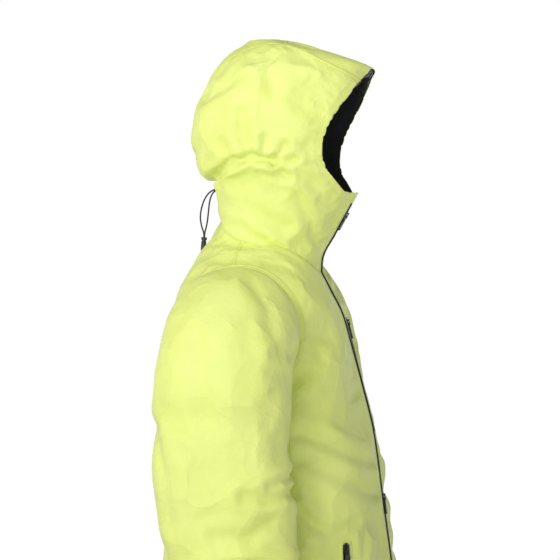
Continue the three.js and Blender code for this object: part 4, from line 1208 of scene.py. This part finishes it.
def softened(node, material, body, slot, swell_mm=0.8, edge_mm=9, seed=0, under=None):
    """A cloth part in the shape of its solid, lightly rumpled, and tucked under a shell piece."""
    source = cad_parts[node]
    piece = bpy.data.objects.new(f"{node}_cloth", source.data.copy())
    bpy.context.scene.collection.objects.link(piece)
    piece.data.materials.clear()
    piece.data.materials.append(material)
    work = bmesh.new()
    work.from_mesh(piece.data)
    bmesh.ops.remove_doubles(work, verts=work.verts, dist=1e-6)
    for _ in range(4):
        long = [e for e in work.edges if e.calc_length() > edge_mm * MM]
        if not long:
            break
        bmesh.ops.subdivide_edges(work, edges=long, cuts=1)
        bmesh.ops.triangulate(work, faces=[f for f in work.faces if len(f.verts) > 4])
    work.to_mesh(piece.data)
    work.free()
    points = coordinates(piece)
    outwards = points * [1, 1, 0]
    outwards /= np.maximum(np.linalg.norm(outwards, axis=1, keepdims=True), 1e-6)
    rumple = waves(points, LUMP_MM, seed) * swell_mm + waves(points, LUMP_MM / 3, seed + 1) * swell_mm * 0.25
    points = points + outwards * (rumple * MM)[:, None]
    if under:
        points = tucked(points, under)
    piece.data.vertices.foreach_set("co", points.ravel())
    piece.data.polygons.foreach_set("use_smooth", [True] * len(piece.data.polygons))
    sharp = piece.modifiers.new("edges", "BEVEL")
    sharp.width = 0.25 * MM
    sharp.segments = 2
    sharp.limit_method = "ANGLE"
    sharp.angle_limit = math.radians(50)
    apply_modifiers(piece)
    return shown_as(piece, body, slot, node)


def cuff(side, sign):
    """A cuff with a turned edge, gathered a little under its tab."""
    make = lambda s, phi: sleeve_points(CUFF_ROWS, s, phi, sign)
    grid, s, phi = even_rings(make, 0, len(CUFF_ROWS) - 1, 4.5, SLEEVE_COLUMNS)
    rows, columns = grid.shape[:2]
    points, quads = grid.reshape(-1, 3), ring_faces(rows, columns)
    if sign < 0:
        quads = quads[:, ::-1]
    normals = vertex_normals(points, quads)
    level, angle = np.repeat(s, columns), phi.ravel()
    gather = 0.7 * np.sin(angle * 26) * np.clip(level / 1.2, 0, 1)
    gather *= 0.4 + 0.6 * np.clip(-np.sin(angle), 0, 1)
    hem = 0.7 * np.exp(-(((level - 1.55) / 0.14) ** 2))
    lift = gather - hem + 0.8 * waves(points, 20, 31 + sign)
    points = points + normals * (lift * np.clip(level / 0.3, 0, 1) * MM)[:, None]
    return as_fabric(new_piece(f"cuff_shell_{side}", points, quads, LIME, BACKER), thickness_mm=1.6)


# ------------------------------------------------------------------ the jacket, put together


def cords():
    for side, sign in SIDES:
        cinch_loop(side, sign)


def shell():
    """The fabric of the torso, the hood with its collar, the sleeves and the cuffs."""
    body = torso()
    shown_as(body, "torso", "shell_fabric", "front_panel_right", "front_panel_left", "back_panel")
    top = hood()
    between_bodies(top)
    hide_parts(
        "collar_right", "collar_left", "collar_back", "hood_side_right", "hood_side_left",
        "hood_centre_panel", "hood_brim",
    )
    arms = {}
    for side, sign in SIDES:
        arm = arms[side] = sleeve(side, sign)
        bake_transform(arm)
        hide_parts(f"sleeve_upper_{side}", f"sleeve_lower_{side}")
        shown_as(cuff(side, sign), f"forearm_{side}", "shell_fabric", f"cuff_{side}")
    return body, top, arms


HEM_STITCH_HEIGHT = 24
PLACKET_HALF = 14
FACE_STITCH_INSET = 11


def hem_gap(points):
    """Height above the hem's edge, in millimetres."""
    return points[:, 2] / MM + 761 + 0.0204 * (points[:, 1] / MM + 30)


def from_armhole(points):
    return np.hypot(points[:, 1] / MM - ARMHOLE["y"], points[:, 2] / MM - ARMHOLE["z"])


def torso_seams(body):
    outside_arm = lambda p: (from_armhole(p) > 99) | (np.abs(p[:, 0]) < 0.1)
    sides = lines_on(body, lambda p: p[:, 1] / MM - SIDE_SEAM_Y, outside_arm)
    armholes = lines_on(body, lambda p: from_armhole(p) - 100, lambda p: np.abs(p[:, 0]) > 0.11)
    off_zip = lambda p: (p[:, 1] > 0) | (np.abs(p[:, 0]) > ZIP_CLEAR * MM)
    hem = lines_on(body, lambda p: hem_gap(p) - HEM_STITCH_HEIGHT, off_zip)
    placket = lines_on(body, lambda p: np.abs(p[:, 0]) / MM - PLACKET_HALF, lambda p: p[:, 1] < 0)
    shown_as(seam("side_seams", sides, 4.4, 0.6), "torso", "shell_fabric")
    shown_as(seam("armhole_seams", armholes, 4.6, 0.7, pucker=0.5), "torso", "shell_fabric")
    shown_as(stitches("side_stitches", sides, offset_mm=3.4), "torso", "shell_fabric")
    shown_as(stitches("armhole_stitches", armholes, offset_mm=3.8), "torso", "shell_fabric")
    shown_as(stitches("hem_stitches", hem), "torso", "shell_fabric")
    shown_as(stitches("placket_stitches", placket), "torso", "shell_fabric")
    phi = np.linspace(0.075, 2 * math.pi - 0.075, 260)
    ring = level_points(HOOD_LEVELS, [0.02], phi[None])[0]
    neck = [laid(ring, body)]
    shown_as(seam("neck_seam", neck, 5.0, 0.9, pucker=0.5), "torso", "shell_fabric")
    shown_as(stitches("neck_stitches", neck, offset_mm=-4.0), "torso", "shell_fabric")


def hood_seams(top):
    ahead_of_brim_seam = BRIM_SEAM + [(-400, 400)]
    side_view = lambda p: (p[:, 1] / MM, p[:, 2] / MM)
    brim_side = lambda p: outside_polygon(*side_view(p), ahead_of_brim_seam)
    high = lambda p: p[:, 2] > 0.19
    brim = lines_on(top, brim_side, high)
    behind_brim = lambda p: (brim_side(p) > 2) & (p[:, 2] > 0.1) & (p[:, 1] > -0.12)
    crown = lines_on(top, lambda p: np.abs(p[:, 0]) / MM - CROWN_STRIP_HALF, behind_brim)
    edge = lines_on(top, lambda p: face_gap(p) - FACE_STITCH_INSET, lambda p: p[:, 2] > 0.035)
    under_chin = lambda p: (p[:, 1] < 0) & (p[:, 2] < 0.045)
    placket = lines_on(top, lambda p: np.abs(p[:, 0]) / MM - PLACKET_HALF, under_chin)
    between_bodies(seam("brim_seam", brim, 4.6, 0.7))
    between_bodies(seam("crown_seams", crown, 4.2, 0.6))
    between_bodies(stitches("brim_stitches", brim, offset_mm=3.4))
    between_bodies(stitches("crown_stitches", crown, offset_mm=3.2))
    between_bodies(stitches("face_edge_stitches", edge))
    between_bodies(stitches("collar_placket_stitches", placket))


def sleeve_seams(arms):
    for side, sign in SIDES:
        under = lines_on(
            arms[side], lambda p: p[:, 1] / MM - (62 + 0.22 * (p[:, 2] / MM + 300)),
            lambda p: (np.abs(p[:, 0]) < 0.262) & (p[:, 2] < -0.27) & (p[:, 2] > -0.645),
        )
        strip = seam(f"sleeve_seam_{side}", under, 4.2, 0.6)
        rows = stitches(f"sleeve_stitches_{side}", under, offset_mm=3.2)
        for made in (strip, rows):
            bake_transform(made)


def zips():
    main = zip_fastener("main_zip", front_line(34))
    shown_as(main, "torso", "zip_tape", "main_zip_tape_right", "main_zip_tape_left")
    for name, pocket in POCKETS.items():
        line = pocket_line(pocket)
        shown_as(zip_fastener(f"{name}_zip", line), "torso", "zip_tape", f"{name}_zip_tape")
        shown_as(pocket_lip(f"{name}_lip", pocket), "torso", "shell_fabric", f"{name}_welt")
        softened(f"{name}_bag", BACKER, "torso", "black_lining", seed=len(name), under=TORSO)


def small_parts():
    softened("zip_garage", SEAM_LIME, "torso", "shell_fabric", swell_mm=0.3, edge_mm=4, seed=41)
    softened("storm_flap", BACKER, "torso", "black_lining", seed=42, under=TORSO)
    softened("hem_facing", BACKER, "torso", "black_lining", swell_mm=0.4, edge_mm=12, seed=43, under=TORSO)
    softened("cinch_tunnel", BACKER, "torso", "shell_fabric", swell_mm=0.3, seed=44, under=HOOD)
    softened("hanger_loop", TAPE, "torso", "zip_tape", swell_mm=0.4, edge_mm=3, seed=45)
    softened("brim_stiffener", BACKER, "hood", "black_lining", swell_mm=0.2, seed=46, under=HOOD)
    softened("hem_drawcord", CORD, "torso", "cord", swell_mm=0.0, edge_mm=6, seed=47)
    for side, sign in SIDES:
        softened(f"cinch_cord_{side}", CORD, "torso", "cord", swell_mm=0.0, edge_mm=6, seed=47, under=HOOD)
    for side, sign in SIDES:
        softened(
            f"cuff_tab_{side}", SEAM_LIME, f"tab_{side}", "shell_fabric",
            swell_mm=0.35, edge_mm=5, seed=48,
        )


def moulded_parts():
    """The moulded parts keep their solids; they get their finish and soft edges."""
    for name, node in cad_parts.items():
        if any(word in name for word in ("slider", "puller", "lock", "eyelet", "cord_end")):
            for place_for in node.material_slots:
                place_for.material = PLASTIC
            rounding = node.modifiers.new("edges", "BEVEL")
            rounding.width = 0.22 * MM
            rounding.segments = 2
            rounding.limit_method = "ANGLE"
            rounding.angle_limit = math.radians(40)


cords()
TORSO, HOOD, SLEEVES = shell()
torso_seams(TORSO)
hood_seams(HOOD)
sleeve_seams(SLEEVES)
zips()
small_parts()
moulded_parts()

# ------------------------------------------------------------------ floor, light and background

FLOOR_Z = -0.79
FLOOR_RADIUS = 1.65
FLOOR_GLOW = 0.04  # keeps the floor pale under the dim dome
DOME_STRENGTH = 0.05  # above the white walls the room is dimmer


def stage():
    """A plain pale floor under a white surround, so that light comes from all round."""
    bpy.ops.mesh.primitive_circle_add(
        vertices=96, radius=FLOOR_RADIUS, fill_type="NGON", location=(0, 0, FLOOR_Z),
    )
    floor = bpy.context.object
    floor.name = "floor"
    finish = Finish("pale_floor", "#f3f3f2", 0.8)
    finish.shader.inputs["Specular IOR Level"].default_value = 0.2
    finish.shader.inputs["Emission Color"].default_value = (1, 1, 1, 1)
    finish.shader.inputs["Emission Strength"].default_value = FLOOR_GLOW
    floor.data.materials.append(finish.material)
    world = bpy.data.worlds.new("white_surround")
    world.use_nodes = True
    background = world.node_tree.nodes["Background"]
    background.inputs["Color"].default_value = (1, 1, 1, 1)
    links, nodes = world.node_tree.links, world.node_tree.nodes
    direction = nodes.new("ShaderNodeTexCoord")
    height = nodes.new("ShaderNodeSeparateXYZ")
    dome = nodes.new("ShaderNodeMapRange")
    for key, value in {1: 0.2, 2: 0.4, 3: 1.0, 4: DOME_STRENGTH}.items():
        dome.inputs[key].default_value = value
    links.new(direction.outputs["Generated"], height.inputs[0])
    links.new(height.outputs["Z"], dome.inputs["Value"])
    links.new(dome.outputs[0], background.inputs["Strength"])
    bpy.context.scene.world = world
    bpy.context.scene.view_settings.view_transform = "Standard"


def soft_light(name, location, aim, size, power, colour="#ffffff"):
    lamp = bpy.data.lights.new(name, "AREA")
    lamp.shape = "DISK"
    lamp.size = size
    lamp.energy = power
    lamp.color = linear(colour)[:3]
    holder = bpy.data.objects.new(name, lamp)
    bpy.context.scene.collection.objects.link(holder)
    holder.location = location
    holder.rotation_mode = "QUATERNION"
    holder.rotation_quaternion = (Vector(aim) - Vector(location)).to_track_quat("-Z", "Y")


stage()
soft_light("key", (-2.75, 1.05, 1.4), (0, 0, -0.2), 0.9, 34, "#fffdf8")
soft_light("side", (-2.9, 0.25, -0.35), (0, 0, -0.4), 1.4, 15, "#fffdf8")
soft_light("top", (-1.1, 0.4, 2.5), (0, 0, 0), 1.2, 25)
